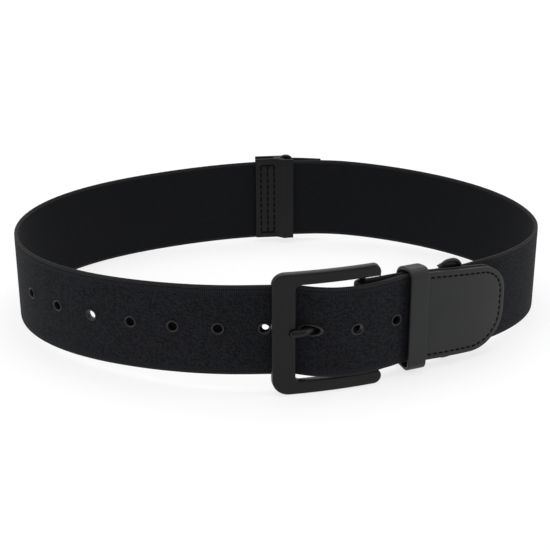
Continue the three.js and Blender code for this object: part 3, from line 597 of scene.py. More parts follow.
def outer_webbing():
    n = Nodes("webbing_outer")
    uv, along, up = weave_axes(n)
    wander = n.math("MULTIPLY", n.noise(n.scaled(uv, (6, 6, 1)), 1.0), 0.55)
    zigzag = n.math("PINGPONG", along, TWILL_COLUMN)
    lean = n.math("ADD", n.math("ADD", zigzag, up), wander)
    twill = wave(n, lean, TWILL_PITCH)
    threads = wave(n, n.math("SUBTRACT", n.math("MULTIPLY", up, 1.6), zigzag), 0.72)
    weave = n.math("MULTIPLY_ADD", threads, 0.35, n.math("MULTIPLY", twill, 0.65))
    ribs = n.math("MULTIPLY_ADD", wave(n, along, EDGE_RIB_PITCH), 0.7, 0.25)
    from_middle = n.math("ABSOLUTE", up)
    past_start = n.math("GREATER_THAN", from_middle, RIB_ZONE[0])
    in_ribs = n.math("MULTIPLY", past_start, n.math("LESS_THAN", from_middle, RIB_ZONE[1]))
    slant = n.pair(n.math("MULTIPLY", n.math("ADD", along, up), 0.55), n.math("SUBTRACT", up, along))
    flecks = n.noise(slant, 1.15, 3.0, 0.6)
    flecks = n.ramp(flecks, [(0.40, (0, 0, 0)), (0.62, (1, 1, 1))])
    loop = n.math("FLOOR", n.math("DIVIDE", n.math("MULTIPLY_ADD", up, 0.5, along), KNIT_PITCH))
    row = n.math("FLOOR", n.math("DIVIDE", up, KNIT_ROW))
    stitches = n.add("ShaderNodeTexWhiteNoise", noise_dimensions="2D")
    n.link(n.pair(loop, row), stitches.inputs["Vector"])
    fibres = n.noise(n.scaled(uv, (26, 26, 1)), 1.0, 4.0, 0.65)
    knit = n.math("MULTIPLY_ADD", flecks, 0.12, n.math("MULTIPLY", weave, 0.3))
    knit = n.math("MULTIPLY_ADD", fibres, 0.1, knit)
    knit = n.math("MULTIPLY_ADD", stitches.outputs["Value"], 0.48, knit)
    knit = n.math("MULTIPLY", n.math("SUBTRACT", 1.0, in_ribs), knit)
    relief = n.math("MULTIPLY_ADD", in_ribs, ribs, knit)
    patches = n.noise(n.scaled(uv, (0.55, 1.1, 1)), 1.0, 3.0)
    # Colour follows the relief: the near-black colour of the weave's low threads is painted shade in its
    # hollows, while the patches are the yarn's own tone.
    weave_hollow_shade = n.mix(patches, (0.0006, 0.0007, 0.0009), (0.0008, 0.0009, 0.0013))
    light = n.mix(patches, (0.0166, 0.0172, 0.0194), (0.0172, 0.0188, 0.0262))
    colour = n.mix(n.ramp(relief, [(0.14, (0, 0, 0)), (0.86, (1, 1, 1))]), weave_hollow_shade, light)
    normal = n.bump(relief, 0.00022, 0.8)
    return n.finish(colour, 0.85, normal, Sheen_Weight=0.02, Sheen_Roughness=0.45, Specular_IOR_Level=0.1)


def inner_webbing():
    n = Nodes("webbing_inner")
    uv, along, up = weave_axes(n)
    sway = n.math("MULTIPLY", n.noise(n.scaled(uv, (3, 3, 1)), 1.0), 0.5)
    rows = wave(n, n.math("ADD", up, sway), 0.9)
    steps = wave(n, n.math("ADD", along, n.math("MULTIPLY", rows, 0.4)), 1.3)
    streaks = n.noise(n.scaled(uv, (1.6, 7.5, 1)), 1.0, 3.0, 0.6)
    relief = n.math("ADD", n.math("MULTIPLY", rows, 0.5), n.math("MULTIPLY", steps, 0.3))
    relief = n.math("MULTIPLY_ADD", streaks, 0.6, relief)
    colour = n.ramp(relief, [(0.3, (0.0034, 0.0037, 0.0044)), (1.0, (0.0090, 0.0096, 0.0110))])
    normal = n.bump(relief, 0.00012, 0.7)
    return n.finish(colour, 0.9, normal, Sheen_Weight=0.02, Sheen_Roughness=0.5, Specular_IOR_Level=0.1)


def edge_webbing():
    n = Nodes("webbing_edge")
    uv, along, up = weave_axes(n)
    cords = wave(n, n.math("ADD", along, n.math("MULTIPLY", up, 0.6)), 0.95)
    fibres = n.noise(n.scaled(uv, (30, 30, 1)), 1.0, 3.0)
    relief = n.math("MULTIPLY_ADD", fibres, 0.5, cords)
    colour = n.ramp(relief, [(0.2, (0.0070, 0.0070, 0.0072)), (1.0, (0.0200, 0.0200, 0.0200))])
    normal = n.bump(relief, 0.00014, 0.8)
    return n.finish(colour, 0.85, normal, Sheen_Weight=0.06, Sheen_Roughness=0.4, Specular_IOR_Level=0.15)


def leather(name, low, high, roughness, shine_level):
    n = Nodes(name)
    point = n.object_point()
    cells = n.add("ShaderNodeTexVoronoi", feature="DISTANCE_TO_EDGE")
    bent = n.add("ShaderNodeVectorMath", operation="ADD")
    n.link(point, bent.inputs[0])
    swirl = n.add("ShaderNodeTexNoise")
    n.link(point, swirl.inputs["Vector"])
    swirl.inputs["Scale"].default_value = 900
    small = n.add("ShaderNodeVectorMath", operation="SCALE")
    n.link(swirl.outputs["Color"], small.inputs[0])
    small.inputs["Scale"].default_value = 0.0006
    n.link(small.outputs[0], bent.inputs[1])
    n.link(bent.outputs[0], cells.inputs["Vector"])
    cells.inputs["Scale"].default_value = 1500
    creases = n.ramp(cells.outputs["Distance"], [(0.0, (0, 0, 0)), (0.22, (1, 1, 1))])
    pores = n.noise(point, 4200, 3.0)
    clouds = n.noise(point, 75, 3.0, 0.6)
    grain = n.math("MULTIPLY_ADD", pores, 0.5, creases)
    tone = n.math("MULTIPLY_ADD", n.math("SUBTRACT", pores, 0.5), 0.35, clouds)
    colour = n.ramp(tone, [(0.25, low), (0.75, high)])
    shine = n.math("MULTIPLY_ADD", n.noise(point, 1300, 2.0), 0.16, roughness - 0.08)
    normal = n.bump(grain, 0.00004, 0.55)
    return n.finish(colour, shine, normal, Specular_IOR_Level=shine_level)


def painted(name, low, high, roughness, shine_level):
    n = Nodes(name)
    point = n.object_point()
    speckle = n.noise(point, 3800, 3.0, 0.6)
    peel = n.noise(point, 900, 2.0)
    clouds = n.noise(point, 55, 3.0)
    relief = n.math("MULTIPLY_ADD", speckle, 0.6, peel)
    tone = n.math("MULTIPLY_ADD", n.math("SUBTRACT", speckle, 0.5), 0.5, clouds)
    colour = n.ramp(tone, [(0.2, low), (0.8, high)])
    shine = n.math("MULTIPLY_ADD", speckle, 0.14, roughness - 0.07)
    normal = n.bump(relief, 0.00003, 0.6)
    return n.finish(colour, shine, normal, Specular_IOR_Level=shine_level)


def thread():
    n = Nodes("stitch_thread")
    point = n.object_point()
    twist = n.noise(point, 5200, 2.0)
    colour = n.ramp(twist, [(0.3, (0.0016, 0.0016, 0.0018)), (0.8, (0.0050, 0.0050, 0.0052))])
    return n.finish(colour, 0.85, n.bump(twist, 0.00005, 0.8), Specular_IOR_Level=0.08)


OUTER = outer_webbing()
INNER = inner_webbing()
EDGE = edge_webbing()
LEATHER = leather("leather_grain", (0.0145, 0.0150, 0.0153), (0.0190, 0.0195, 0.0198), 0.48, 0.24)
# The tab's leather is a darker copy of the keeper and tip leather: painted shade for the tab at the back of
# the loop.
TAB_LEATHER_SHADED = leather("leather_tab_painted_shade", (0.0048, 0.0050, 0.0054), (0.0072, 0.0075, 0.0080), 0.5, 0.2)
PAINT = painted("matte_black_paint", (0.0040, 0.0041, 0.0043), (0.0058, 0.0059, 0.0061), 0.36, 0.2)
DARK_METAL = painted("dark_metal", (0.006, 0.006, 0.006), (0.009, 0.009, 0.0088), 0.4, 0.3)
RIM = painted("eyelet_rim", (0.011, 0.011, 0.012), (0.016, 0.016, 0.017), 0.5, 0.34)
THREAD = thread()

# Webbing section: flat faces, a sunk line inside each edge, and a rounded selvedge
HOLE_ROW = 0.4
FACE_STEP = 1.3
SELVEDGE_LINE = 1.75
SELVEDGE_DEPTH = 0.3
INNER_LINE_DEPTH = 0.12
SELVEDGE_SWELL = 0.05
ROUND_STEPS = 9


def face_heights(width, fine):
    """Heights across a face, close together where holes are, from bottom to top."""
    flat = width / 2 - 2.4
    inner = np.arange(HOLE_ROW / 2, fine, HOLE_ROW) if fine else np.array([0.0])
    outer = np.linspace(inner[-1], flat, max(2, int((flat - inner[-1]) / FACE_STEP)))[1:]
    line = width / 2 - np.array([2.2, 2.0, 1.87, SELVEDGE_LINE, 1.63, 1.5, 1.3, 1.1])
    half = np.concatenate([inner, outer, line])
    return np.concatenate([-half[::-1], half if fine else half[1:]])


def webbing_section(width, thickness, fine):
    """Points (depth, height, region) round the section: 0 outer, 1 inner, 2 edge."""
    half = thickness / 2
    edge = width / 2
    points = []

    def face(side, heights, sunk, region):
        for h in heights:
            inset = edge - abs(h)
            line = math.exp(-((inset - SELVEDGE_LINE) / 0.2) ** 2)
            swell = SELVEDGE_SWELL if inset < SELVEDGE_LINE else 0
            here = 2 if inset < SELVEDGE_LINE - 0.05 else region
            points.append((side * (half - sunk * line - swell), h, here))

    def selvedge(side):
        for x, y in arc((0, 0), 1, 0, math.pi, ROUND_STEPS)[1:-1]:
            points.append((side * (half - SELVEDGE_SWELL) * x, side * (edge - 1 + y), 2))

    heights = face_heights(width, fine)
    face(1, heights, SELVEDGE_DEPTH, 0)
    selvedge(1)
    face(-1, heights[::-1], INNER_LINE_DEPTH, 1)
    selvedge(-1)
    return points


def webbing_band(name, centres, lengths, heights, halves, width, thickness, fine=0.0, holes=()):
    """Band of webbing along centres, each with its length along the webbing and mid height."""
    section = webbing_section(width, thickness, fine)
    depth = np.array([p[0] for p in section])
    up = np.array([p[1] for p in section])
    region = np.array([p[2] for p in section])
    out = outwards(unit(np.gradient(centres, axis=0)))
    rows, columns = len(centres), len(section)
    share = (np.asarray(halves) / (width / 2))[:, None]
    verts = np.empty((rows, columns, 3))
    verts[:, :, :2] = centres[:, None, :] + out[:, None, :] * depth[None, :, None]
    verts[:, :, 2] = heights[:, None] + up[None, :] * share
    uvs = np.stack(np.broadcast_arrays(lengths[:, None], up[None, :]), axis=2) / WEAVE_UNIT
    faces, indices = [], []
    length_grid = np.broadcast_to(lengths[:, None], (rows, columns)).copy()
    up_grid = np.broadcast_to(up[None, :], (rows, columns)).copy()
    snapped_length, snapped_up = length_grid.copy(), up_grid.copy()
    inside = np.zeros((rows, columns), bool)
    for hole_length, radius, stretch in holes:
        dx = (length_grid - hole_length) / stretch
        rise = up_grid - EYELET_RISE
        away = np.hypot(dx, rise)
        near = (away < radius) & (np.abs(depth)[None, :] > 0.5)
        deep = away < radius - 0.75 * HOLE_ROW
        inside |= near & deep
        pull = np.where(away > 1e-6, radius / np.maximum(away, 1e-6), 1)
        snapped_length = np.where(near, hole_length + dx * pull * stretch, snapped_length)
        snapped_up = np.where(near, EYELET_RISE + rise * pull, snapped_up)
    if len(holes):
        row_of = np.interp(snapped_length, lengths, np.arange(rows))
        low = np.clip(row_of.astype(int), 0, rows - 2)
        t = (row_of - low)[..., None]
        base = centres[low] * (1 - t) + centres[low + 1] * t
        normal = out[low] * (1 - t) + out[low + 1] * t
        verts[:, :, :2] = base + normal * depth[None, :, None]
        rise = heights[low] * (1 - t[..., 0]) + heights[low + 1] * t[..., 0]
        verts[:, :, 2] = rise + snapped_up * share
        uvs = np.stack([snapped_length, snapped_up], axis=2) / WEAVE_UNIT
    for i in range(rows - 1):
        for j in range(columns):
            k = (j + 1) % columns
            if inside[i : i + 2, [j, k]].any():
                continue
            a, b = i * columns + j, i * columns + k
            faces.append((a, b, b + columns, a + columns))
            indices.append(2 if 2 in (region[j], region[k]) else region[j])
    if len(holes):
        # The rims of the holes in the two faces, joined by walls
        uses = {}
        for face in faces:
            for a, b in zip(face, face[1:] + face[:1]):
                key = (min(a, b), max(a, b))
                uses[key] = uses.get(key, 0) + 1
        across = len(face_heights(width, fine))
        mirror = 2 * across + ROUND_STEPS - 2
        for edge, count in uses.items():
            (row_a, col_a), (row_b, col_b) = (divmod(end, columns) for end in edge)
            on_face = max(col_a, col_b) < across
            if count == 1 and on_face and min(row_a, row_b) > 0 and max(row_a, row_b) < rows - 1:
                faces.append((*edge, row_b * columns + mirror - col_b, row_a * columns + mirror - col_a))
                indices.append(2)
    for i in (0, rows - 1):
        faces.append(tuple(i * columns + j for j in range(columns)))
        indices.append(2)
    materials = [OUTER, INNER, EDGE]
    obj = make_object(name, verts.reshape(-1, 3), faces, materials, indices, uvs.reshape(-1, 2))
    bm = bmesh.new()
    bm.from_mesh(obj.data)
    bmesh.ops.delete(bm, geom=[v for v in bm.verts if not v.link_faces], context="VERTS")
    bm.to_mesh(obj.data)
    bm.free()
    return obj


# Main strap, whose tip is a little rounder and lower than that of the solids
TIP_TOP_CORNER = 15
TIP_BOTTOM_CORNER = 21
TIP_TOP_DROP = 4
HOLE_REACH = 4.2
FINE_ZONE = 5.8
ROW_STEP = 1.25
EYELETS = []
for number in range(1, EYELET_COUNT + 1):
    place = float(place_of(webbing_length(PRONG_PLACE) + (number - PRONG_EYELET) * EYELET_PITCH))
    EYELETS.append((number, place, EYELET_STRETCH if number == PRONG_EYELET else 1.0))


def tip_edges(places, half_width, inset=0.0):
    """How far the tip reaches above and below the strap's middle, inside its outline."""
    end = TIP_END - inset
    t = np.clip((places - TIP_START) / TIP_LENGTH, 0, 1)
    reach = []
    for corner in (TIP_TOP_CORNER - inset, TIP_BOTTOM_CORNER - inset):
        into = np.clip(places - (end - corner), 0, corner)
        reach.append(half_width - corner + np.sqrt(corner**2 - into**2))
    return reach[0] - TIP_TOP_DROP * t**1.5, reach[1]


def main_strap():
    start = JOIN - GIRTH + TAB_LENGTH / 2 - TAB_POCKET + GAP
    end = TIP_END - TIP_RIM
    first, last = webbing_length(start), webbing_length(end)
    holes = [(webbing_length(p), EYELET_HOLE / 2, stretch) for _, p, stretch in EYELETS]
    lengths = [first]
    while lengths[-1] < last:
        near = min(abs(lengths[-1] - h[0]) / h[2] for h in holes)
        lengths.append(lengths[-1] + (HOLE_ROW if near < HOLE_REACH else ROW_STEP))
    lengths[-1] = last
    lengths = np.array(lengths)
    places = place_of(lengths)
    up, down = tip_edges(places, WEBBING_WIDTH / 2, TIP_RIM)
    middles = main_height(places) + (up - down) / 2
    obj = webbing_band(
        "main_strap_webbing", main_spots(places), lengths, middles, (up + down) / 2,
        WEBBING_WIDTH, WEBBING_THICKNESS, fine=FINE_ZONE, holes=holes,
    )
    dress(obj, "webbing", "main_strap")


main_strap()


# Eyelets
# Dark sheets of painted shade close the holes, apart from the openings given here.
BLIND = (0, 0, 0.03, 0.03)
HOLE_OPENINGS = {
    **dict.fromkeys((1, 2, 4, 5, 6), BLIND),
    7: (0.5, 0.35, 1.75, 1.75),
    8: (0.2, 0, 2.3, 1.9),
}
SHADE_SHEET_PROFILE = ((0, 0.3), (0.5, 0.37), (1, 0.45), (1, 0.65), (0.5, 0.73), (0, 0.8))


def on_main(points, place):
    """Points laid on the main strap: X along the webbing, Y through it, Z up."""
    points = np.asarray(points, float)
    here = place + points[:, 0]
    along = unit(main_spots(here + 0.1) - main_spots(here - 0.1))
    flat = main_spots(here) - outwards(along) * points[:, 1:2]
    return np.column_stack([flat, main_height(here) + points[:, 2]])


def eyelet(number, place, stretch):
    bore, rim = EYELET_BORE / 2, EYELET_RIM / 2
    face = WEBBING_THICKNESS / 2
    outer = [
        (rim - 0.02, face + 0.02), (rim, face + 0.2), (rim - 0.08, face + 0.38), (rim - 0.26, face + 0.5),
        (rim - 0.48, face + 0.52), (bore + 0.14, face + 0.42), (bore + 0.03, face + 0.22), (bore, face - 0.1),
    ]
    profile = outer + [(r, -y) for r, y in reversed(outer)]
    turns = circle(48)
    verts = [(r * x * stretch, y, EYELET_RISE + r * z) for x, z in turns for r, y in profile]
    faces = grid_faces(len(turns), len(profile), close_rows=True)
    obj = make_object(f"eyelet_ring_{number:02d}", on_main(verts, place), faces, [RIM])
    dress(obj, "eyelet", f"eyelet_{number:02d}")


def hole_shade_sheets():
    """Dark sheets of painted shade inside the holes, each with the opening (x, z, half sizes) that is given.
    """
    bore = EYELET_BORE / 2 + 0.1
    turns = circle(40)
    parts = []
    for number, place, stretch in EYELETS:
        if number not in HOLE_OPENINGS:
            continue
        middle_x, middle_z, open_x, open_z = HOLE_OPENINGS[number]
        verts = []
        for x, z in turns:
            rim = (bore * stretch * x, bore * z)
            edge = (middle_x + open_x * x, middle_z + open_z * z)
            for t, y in SHADE_SHEET_PROFILE:
                verts.append((between(rim[0], edge[0], t), y, EYELET_RISE + between(rim[1], edge[1], t)))
        parts.append((on_main(verts, place), grid_faces(len(turns), len(SHADE_SHEET_PROFILE), close_rows=True)))
    # The stitch thread material serves here as painted shade inside the holes.
    dress(make_object("hole_painted_shade", *merged(parts), [THREAD]), "webbing")


for number, place, stretch in EYELETS:
    eyelet(number, place, stretch)
hole_shade_sheets()


# Adjusting strap
FOLD_STEPS = 24
BOX_FACES = [(3, 2, 1, 0), (4, 5, 6, 7), (0, 1, 5, 4), (1, 2, 6, 5), (2, 3, 7, 6), (3, 0, 4, 7)]


def adjust_strap():
    def run(start, end, rows_at, step=1.0):
        places = np.linspace(start, end, max(2, int(abs(end - start) / step)))
        return [(p, offset_through(rows_at(p), p)) for p in places]

    course = run(RING_BAR - BACK_HEM, RING_BAR, lambda p: HEM_ROWS)
    course += arc((RING_BAR, 0), RING_FOLD_RADIUS, QUARTER, -QUARTER, FOLD_STEPS)[1:-1]
    course += run(RING_BAR, HEEL_BAR, lambda p: BACK_ROWS if p > (RING_BAR + TIP_END) / 2 else RUNNING_ROWS)
    course += arc((HEEL_BAR, HEEL_BAR_OFFSET), HEEL_FOLD_RADIUS, QUARTER, 3 * QUARTER, FOLD_STEPS)[1:-1]
    course += run(HEEL_BAR, SEWN_END, lambda p: RETURN_ROWS)
    places = np.array([row[0] for row in course])
    centres = spot(places, np.array([row[1] for row in course]))
    lengths = walked(centres)
    halves = np.full(len(course), ADJUST_WIDTH / 2)
    # The course runs against the places, so it is turned round to keep the same outer face
    obj = webbing_band(
        "adjust_strap_webbing", centres[::-1], lengths[-1] - lengths[::-1],
        adjust_height(places)[::-1], halves, ADJUST_WIDTH, WEBBING_THICKNESS,
    )
    at = spot(HEEL_BAR, HEEL_BAR_OFFSET)
    reach = 1.5 * (HEEL_FOLD_RADIUS + WEBBING_THICKNESS / 2)
    low = BUCKLE_HEIGHT / 2 + EYELET_RISE - PRONG_SLOT / 2
    corners = ((-reach, -reach), (reach, -reach), (reach, reach), (-reach, reach))
    tangent = loop_at(HEEL_BAR)[1]
    side = outwards(tangent)
    ends = (low, low + PRONG_SLOT)
    box = [(*(at + x * tangent - y * side), z) for z in ends for x, y in corners]
    cut_away(obj, make_object("slot_cutter", box, BOX_FACES, [EDGE]))
    dress(obj, "webbing", "adjust_strap")


adjust_strap()

# Buckle
BUCKLE_PLACE = BUCKLE_START + BUCKLE_LENGTH / 2
BUCKLE_SEAT = Seat(BUCKLE_PLACE, BUCKLE_OFFSET, BUCKLE_HEIGHT / 2)
PRONG_RADIUS = PRONG_DIAMETER / 2
PRONG_TIP_X = -BUCKLE_LENGTH / 2 + PRONG_TIP_INSET + PRONG_RADIUS
PRONG_FRONT_Y = -BUCKLE_THICKNESS - PRONG_RADIUS + PRONG_NOTCH_DEPTH
FACE_BEVEL = 1.1
REAR_BEVEL = 0.7
CORNER_STEPS = 14
RAIL_STEPS = 40
LEAST_BAR = 0.02
HEEL_BAR_SUNK = 3
HEEL_LUG_SUNK = 3.2
HEEL_LUG_SHIFT = 0.4
BAR_STEPS = 24
DOME_STEPS = 8


def bend_at(x):
    return BUCKLE_BEND_RADIUS - math.sqrt(BUCKLE_BEND_RADIUS**2 - x * x)


def steps_between(a, b, step):
    pieces = max(1, round(math.dist(a, b) / step))
    return line_points(a, b, [i / pieces for i in range(1, pieces + 1)])


def frame_pairs(corner, rail_width):
    """Pairs of outer and inner points (x, z) from a rail's right end to the left bar's middle."""
    half, top, tight = BUCKLE_LENGTH / 2, BUCKLE_HEIGHT / 2, RAIL_END_CORNER
    rail = top - rail_width
    bar = -half + LEFT_BAR_WIDTH
    first = math.asin((rail - (top - tight)) / tight)
    end_arc = arc((half - tight, top - tight), tight, first, QUARTER, CORNER_STEPS)
    shares = [i / CORNER_STEPS for i in range(CORNER_STEPS + 1)]
    pairs = list(zip(end_arc, line_points((end_arc[0][0] - 0.02, rail), (half - tight, rail), shares)))
    shares = [i / RAIL_STEPS for i in range(1, RAIL_STEPS + 1)]
    outer = line_points((half - tight, top), (-half + corner, top), shares)
    pairs += zip(outer, line_points((half - tight, rail), (bar + WINDOW_CORNER, rail), shares))
    outer = arc((-half + corner, top - corner), corner, QUARTER, 2 * QUARTER, CORNER_STEPS)
    window = (bar + WINDOW_CORNER, rail - WINDOW_CORNER)
    inner = arc(window, WINDOW_CORNER, QUARTER, 2 * QUARTER, CORNER_STEPS)
    pairs += list(zip(outer, inner))[1:]
    shares = [i / BAR_STEPS for i in range(1, BAR_STEPS + 1)]
    outer = line_points((-half, top - corner), (-half, 0), shares)
    pairs += zip(outer, line_points((bar, window[1]), (bar, 0), shares))
    return pairs


def bar_section(width):
    """Points (across, depth) round a bar with soft front edges; depth 0 is its back."""
    thick = BUCKLE_THICKNESS
    front = min(FACE_BEVEL, width / 2)
    rear = min(REAR_BEVEL, width / 2)
    points = arc((front, thick - front), front, 2 * QUARTER, QUARTER, 6)
    points += line_points((front, thick), (width - front, thick), (0.25, 0.5, 0.75))
    points += arc((width - front, thick - front), front, QUARTER, 0, 6)
    points += arc((width - rear, rear), rear, 0, -QUARTER, 4)
    points.append((width / 2, 0))
    points += arc((rear, rear), rear, -QUARTER, -2 * QUARTER, 4)
    return points


def column(radius, low, high, x, y, soft=0.0):
    """Upright round bar in a seat's axes."""
    turns = circle(32)
    rings = [(radius - soft, low), (radius, low + soft), (radius, high - soft), (radius - soft, high)]
    verts = [(x + r * c, y + r * s, z) for r, z in rings for c, s in turns]
    return verts, grid_faces(len(rings), len(turns))


def buckle():
    pairs = frame_pairs(BUCKLE_CORNER, RAIL_WIDTH)
    lower = frame_pairs(BUCKLE_LOWER_CORNER, BUCKLE_LOWER_RAIL)
    pairs += [((o[0], -o[1]), (i[0], -i[1])) for o, i in reversed(lower[:-1])]
    verts = []
    half, top = BUCKLE_LENGTH / 2, BUCKLE_HEIGHT / 2
    for outer, inner in pairs:
        width = max(math.dist(outer, inner), LEAST_BAR)
        direction = ((inner[0] - outer[0]) / width, (inner[1] - outer[1]) / width)
        if math.dist(outer, inner) < LEAST_BAR:
            direction = (-1, 0)
        section = bar_section(width)
        for across, depth in section:
            x = outer[0] + direction[0] * across
            z = outer[1] + direction[1] * across
            x -= TOP_RAIL_TRIM * max(0, x) / half * max(0, z) / top
            verts.append((x, -depth + bend_at(x), z))
    bar = BUCKLE_SEAT.local(HEEL_BAR, HEEL_BAR_OFFSET)
    body = make_local("buckle_body", verts, grid_faces(len(pairs), len(section)))
    front = PRONG_FRONT_Y + bend_at(PRONG_TIP_X)
    path = [(PRONG_TIP_X, front, EYELET_RISE), (PRONG_TIP_X + LEFT_BAR_WIDTH, front, EYELET_RISE)]
    cut_away(body, make_local("notch_cutter", *tube(path, PRONG_RADIUS + GAP, 48)))
    frame_verts = np.array([tuple(v.co) for v in body.data.vertices])
    frame_faces = [tuple(p.vertices) for p in body.data.polygons]
    bpy.data.objects.remove(body)
    reach = top - HEEL_BAR_SUNK
    parts = [(frame_verts, frame_faces), column(HEEL_BAR_DIAMETER / 2, -reach, reach, *bar)]
    for end in (-1, 1):
        low, high = sorted((end * (top - HEEL_LUG_SUNK), end * (top - RAIL_WIDTH - HEEL_LUG_LENGTH)))
        parts.append(column(HEEL_LUG_DIAMETER / 2, low, high, bar[0], bar[1] - HEEL_LUG_SHIFT, soft=0.3))
    verts, faces = merged(parts)
    obj = make_object("buckle_body", BUCKLE_SEAT.world(verts), faces, [PAINT], angle=math.radians(38))
    dress(obj, "painted_metal", "buckle_frame")


def tube(path, radius, sides):
    """Round bar with domed ends along a level path in a seat's axes."""
    path = np.asarray(path, float)
    along = unit(np.gradient(path, axis=0))
    rows = [(centre, direction, radius) for centre, direction in zip(path, along)]
    head, tail = [], []
    for i in range(DOME_STEPS):
        a = QUARTER * (1 - i / DOME_STEPS)
        r = max(radius * math.cos(a), 0.004)
        head.append((path[0] - along[0] * radius * math.sin(a), along[0], r))
        tail.append((path[-1] + along[-1] * radius * math.sin(a), along[-1], r))
    rows = head + rows + tail[::-1]
    up = np.array([0, 0, 1.0])
    verts = []
    for centre, direction, r in rows:
        side = np.cross(up, direction)
        verts += [centre + r * (c * side + s * up) for c, s in circle(sides)]
    return np.array(verts), grid_faces(len(rows), sides)


def smooth_path(points, per_piece):
    """Centripetal curve through the points."""
    points = [np.asarray(p, float) for p in points]
    points = [2 * points[0] - points[1]] + points + [2 * points[-1] - points[-2]]
    path = []
    for k in range(1, len(points) - 2):
        p0, p1, p2, p3 = points[k - 1 : k + 3]
        d0, d1, d2 = (math.sqrt(np.linalg.norm(b - a)) for a, b in ((p0, p1), (p1, p2), (p2, p3)))
        t1 = ((p1 - p0) / d0 - (p2 - p0) / (d0 + d1) + (p2 - p1) / d1) * d1
        t2 = ((p2 - p1) / d1 - (p3 - p1) / (d1 + d2) + (p3 - p2) / d2) * d1
        for i in range(per_piece):
            t = i / per_piece
            path.append(
                (2 * t**3 - 3 * t**2 + 1) * p1 + (t**3 - 2 * t**2 + t) * t1
                + (-2 * t**3 + 3 * t**2) * p2 + (t**3 - t**2) * t2
            )
    path.append(points[-2])
    return path


def prong():
    bar = BUCKLE_SEAT.local(HEEL_BAR, HEEL_BAR_OFFSET)
    front = PRONG_FRONT_Y + bend_at(PRONG_TIP_X)
    through = BUCKLE_SEAT.local(PRONG_PLACE, float(main_offsets(PRONG_PLACE)[0]))
    reach = 0.85 * PRONG_DIAMETER
    path = smooth_path(
        [
            (PRONG_TIP_X, front, 0),
            (between(PRONG_TIP_X, through[0] - reach, 0.6), front, 0),
            (through[0] - reach, through[1] - 0.62 * reach, 0),
            (through[0], through[1], 0),
            (through[0] + reach, between(through[1], bar[1], 0.75), 0),
            (through[0] + 2.2 * reach, bar[1], 0),
            (bar[0] - HEEL_BAR_DIAMETER / 2 - 1, bar[1], 0),
        ],
        8,
    )
    inner = HEEL_BAR_DIAMETER / 2 + 0.1
    outer = HEEL_BAR_DIAMETER / 2 + GAP + PRONG_RING_WALL
    half = PRONG_RING_HEIGHT / 2
    soft = 0.4
    profile = [(inner, -half), (outer - soft, -half), (outer, -half + soft)]
    profile += [(r, -z) for r, z in reversed(profile)]
    turns = circle(40)
    ring = [(bar[0] + r * c, bar[1] + r * s, z) for c, s in turns for r, z in profile]
    parts = [tube(path, PRONG_RADIUS, 32), (ring, grid_faces(len(turns), len(profile), close_rows=True))]
    verts, faces = merged(parts)
    verts = BUCKLE_SEAT.world(verts) + (0, 0, EYELET_RISE)
    obj = make_object("prong_body", verts, faces, [PAINT], angle=math.radians(50))
    dress(obj, "painted_metal", "prong")


buckle()
prong()


# Keeper loop
def outline_normals(path):
    """Directions out of a closed anticlockwise outline."""
    return outwards(unit(np.roll(path, -1, axis=0) - np.roll(path, 1, axis=0)))


def ring_sweep(outline, section):
    """Section (out, along) carried round a closed outline of points (y, z)."""
    path = np.asarray(outline, float)
    verts = [(a, *(at + out * o)) for at, out in zip(path, outline_normals(path)) for o, a in section]
    return np.array(verts), grid_faces(len(path), len(section), close_rows=True)


# The solid's back hangs level; here its top sags towards the back
KEEPER_SAG = 0.24


def keeper():
    tail_half = WEBBING_THICKNESS / 2 + TIP_SEAT + TIP_PLY
    outside = TAIL_OFFSET + KEEPER_ENTRY_LIFT + tail_half + KEEPER_SLACK
    inside = BACK_PLY_OFFSET - WEBBING_THICKNESS / 2 - KEEPER_BACK_SLACK
    depth = outside - inside + 2 * KEEPER_WALL
    outline = rounded_rectangle(depth, KEEPER_HEIGHT, KEEPER_CORNER, 14, 1.2)
    section = rounded_rectangle(KEEPER_WALL, KEEPER_WIDTH, 0.6, 5, 0.9)
    section = [(x - KEEPER_WALL / 2, y) for x, y in section]
    verts, faces = ring_sweep(outline, section)
    upper_share = np.clip(0.5 + verts[:, 2] / KEEPER_HEIGHT, 0, 1)
    verts[:, 2] -= KEEPER_SAG * (verts[:, 1] + depth / 2) ** 2 / depth * upper_share
    height = float(main_height(KEEPER_PLACE) + adjust_height(KEEPER_PLACE)) / 2
    seat = Seat(KEEPER_PLACE, (outside + inside) / 2, height)
    obj = make_object("keeper_leather", seat.world(verts), faces, [LEATHER])
    dress(obj, "leather", "keeper_loop")


keeper()

# Leather tip
STITCH_INSET = 3.0
STITCH_PITCH = 3.3
STITCH_LENGTH = 1.9
STITCH_RADIUS = 0.45
STITCH_GROOVE = 0.26
TIP_PAD = 0.1
TIP_SOFT_EDGE = 0.45
TIP_STEP = 0.6


def tip_inset(place, height):
    """Distance of a point of the tip from the tip's outline, positive inside."""
    t = np.clip((place - TIP_START) / TIP_LENGTH, 0, 1)
    top = TIP_HEIGHT / 2 - TIP_TOP_DROP * t**1.5
    sides = ((top, TIP_TOP_CORNER, height), (TIP_HEIGHT / 2, TIP_BOTTOM_CORNER, -height))
    inset = []
    for reach, corner, up in sides:
        x = place - (TIP_END - corner)
        y = up - (reach - corner)
        inset.append(corner - np.hypot(np.maximum(x, 0), np.maximum(y, 0)) - np.minimum(np.maximum(x, y), 0))
    return np.minimum(*inset)


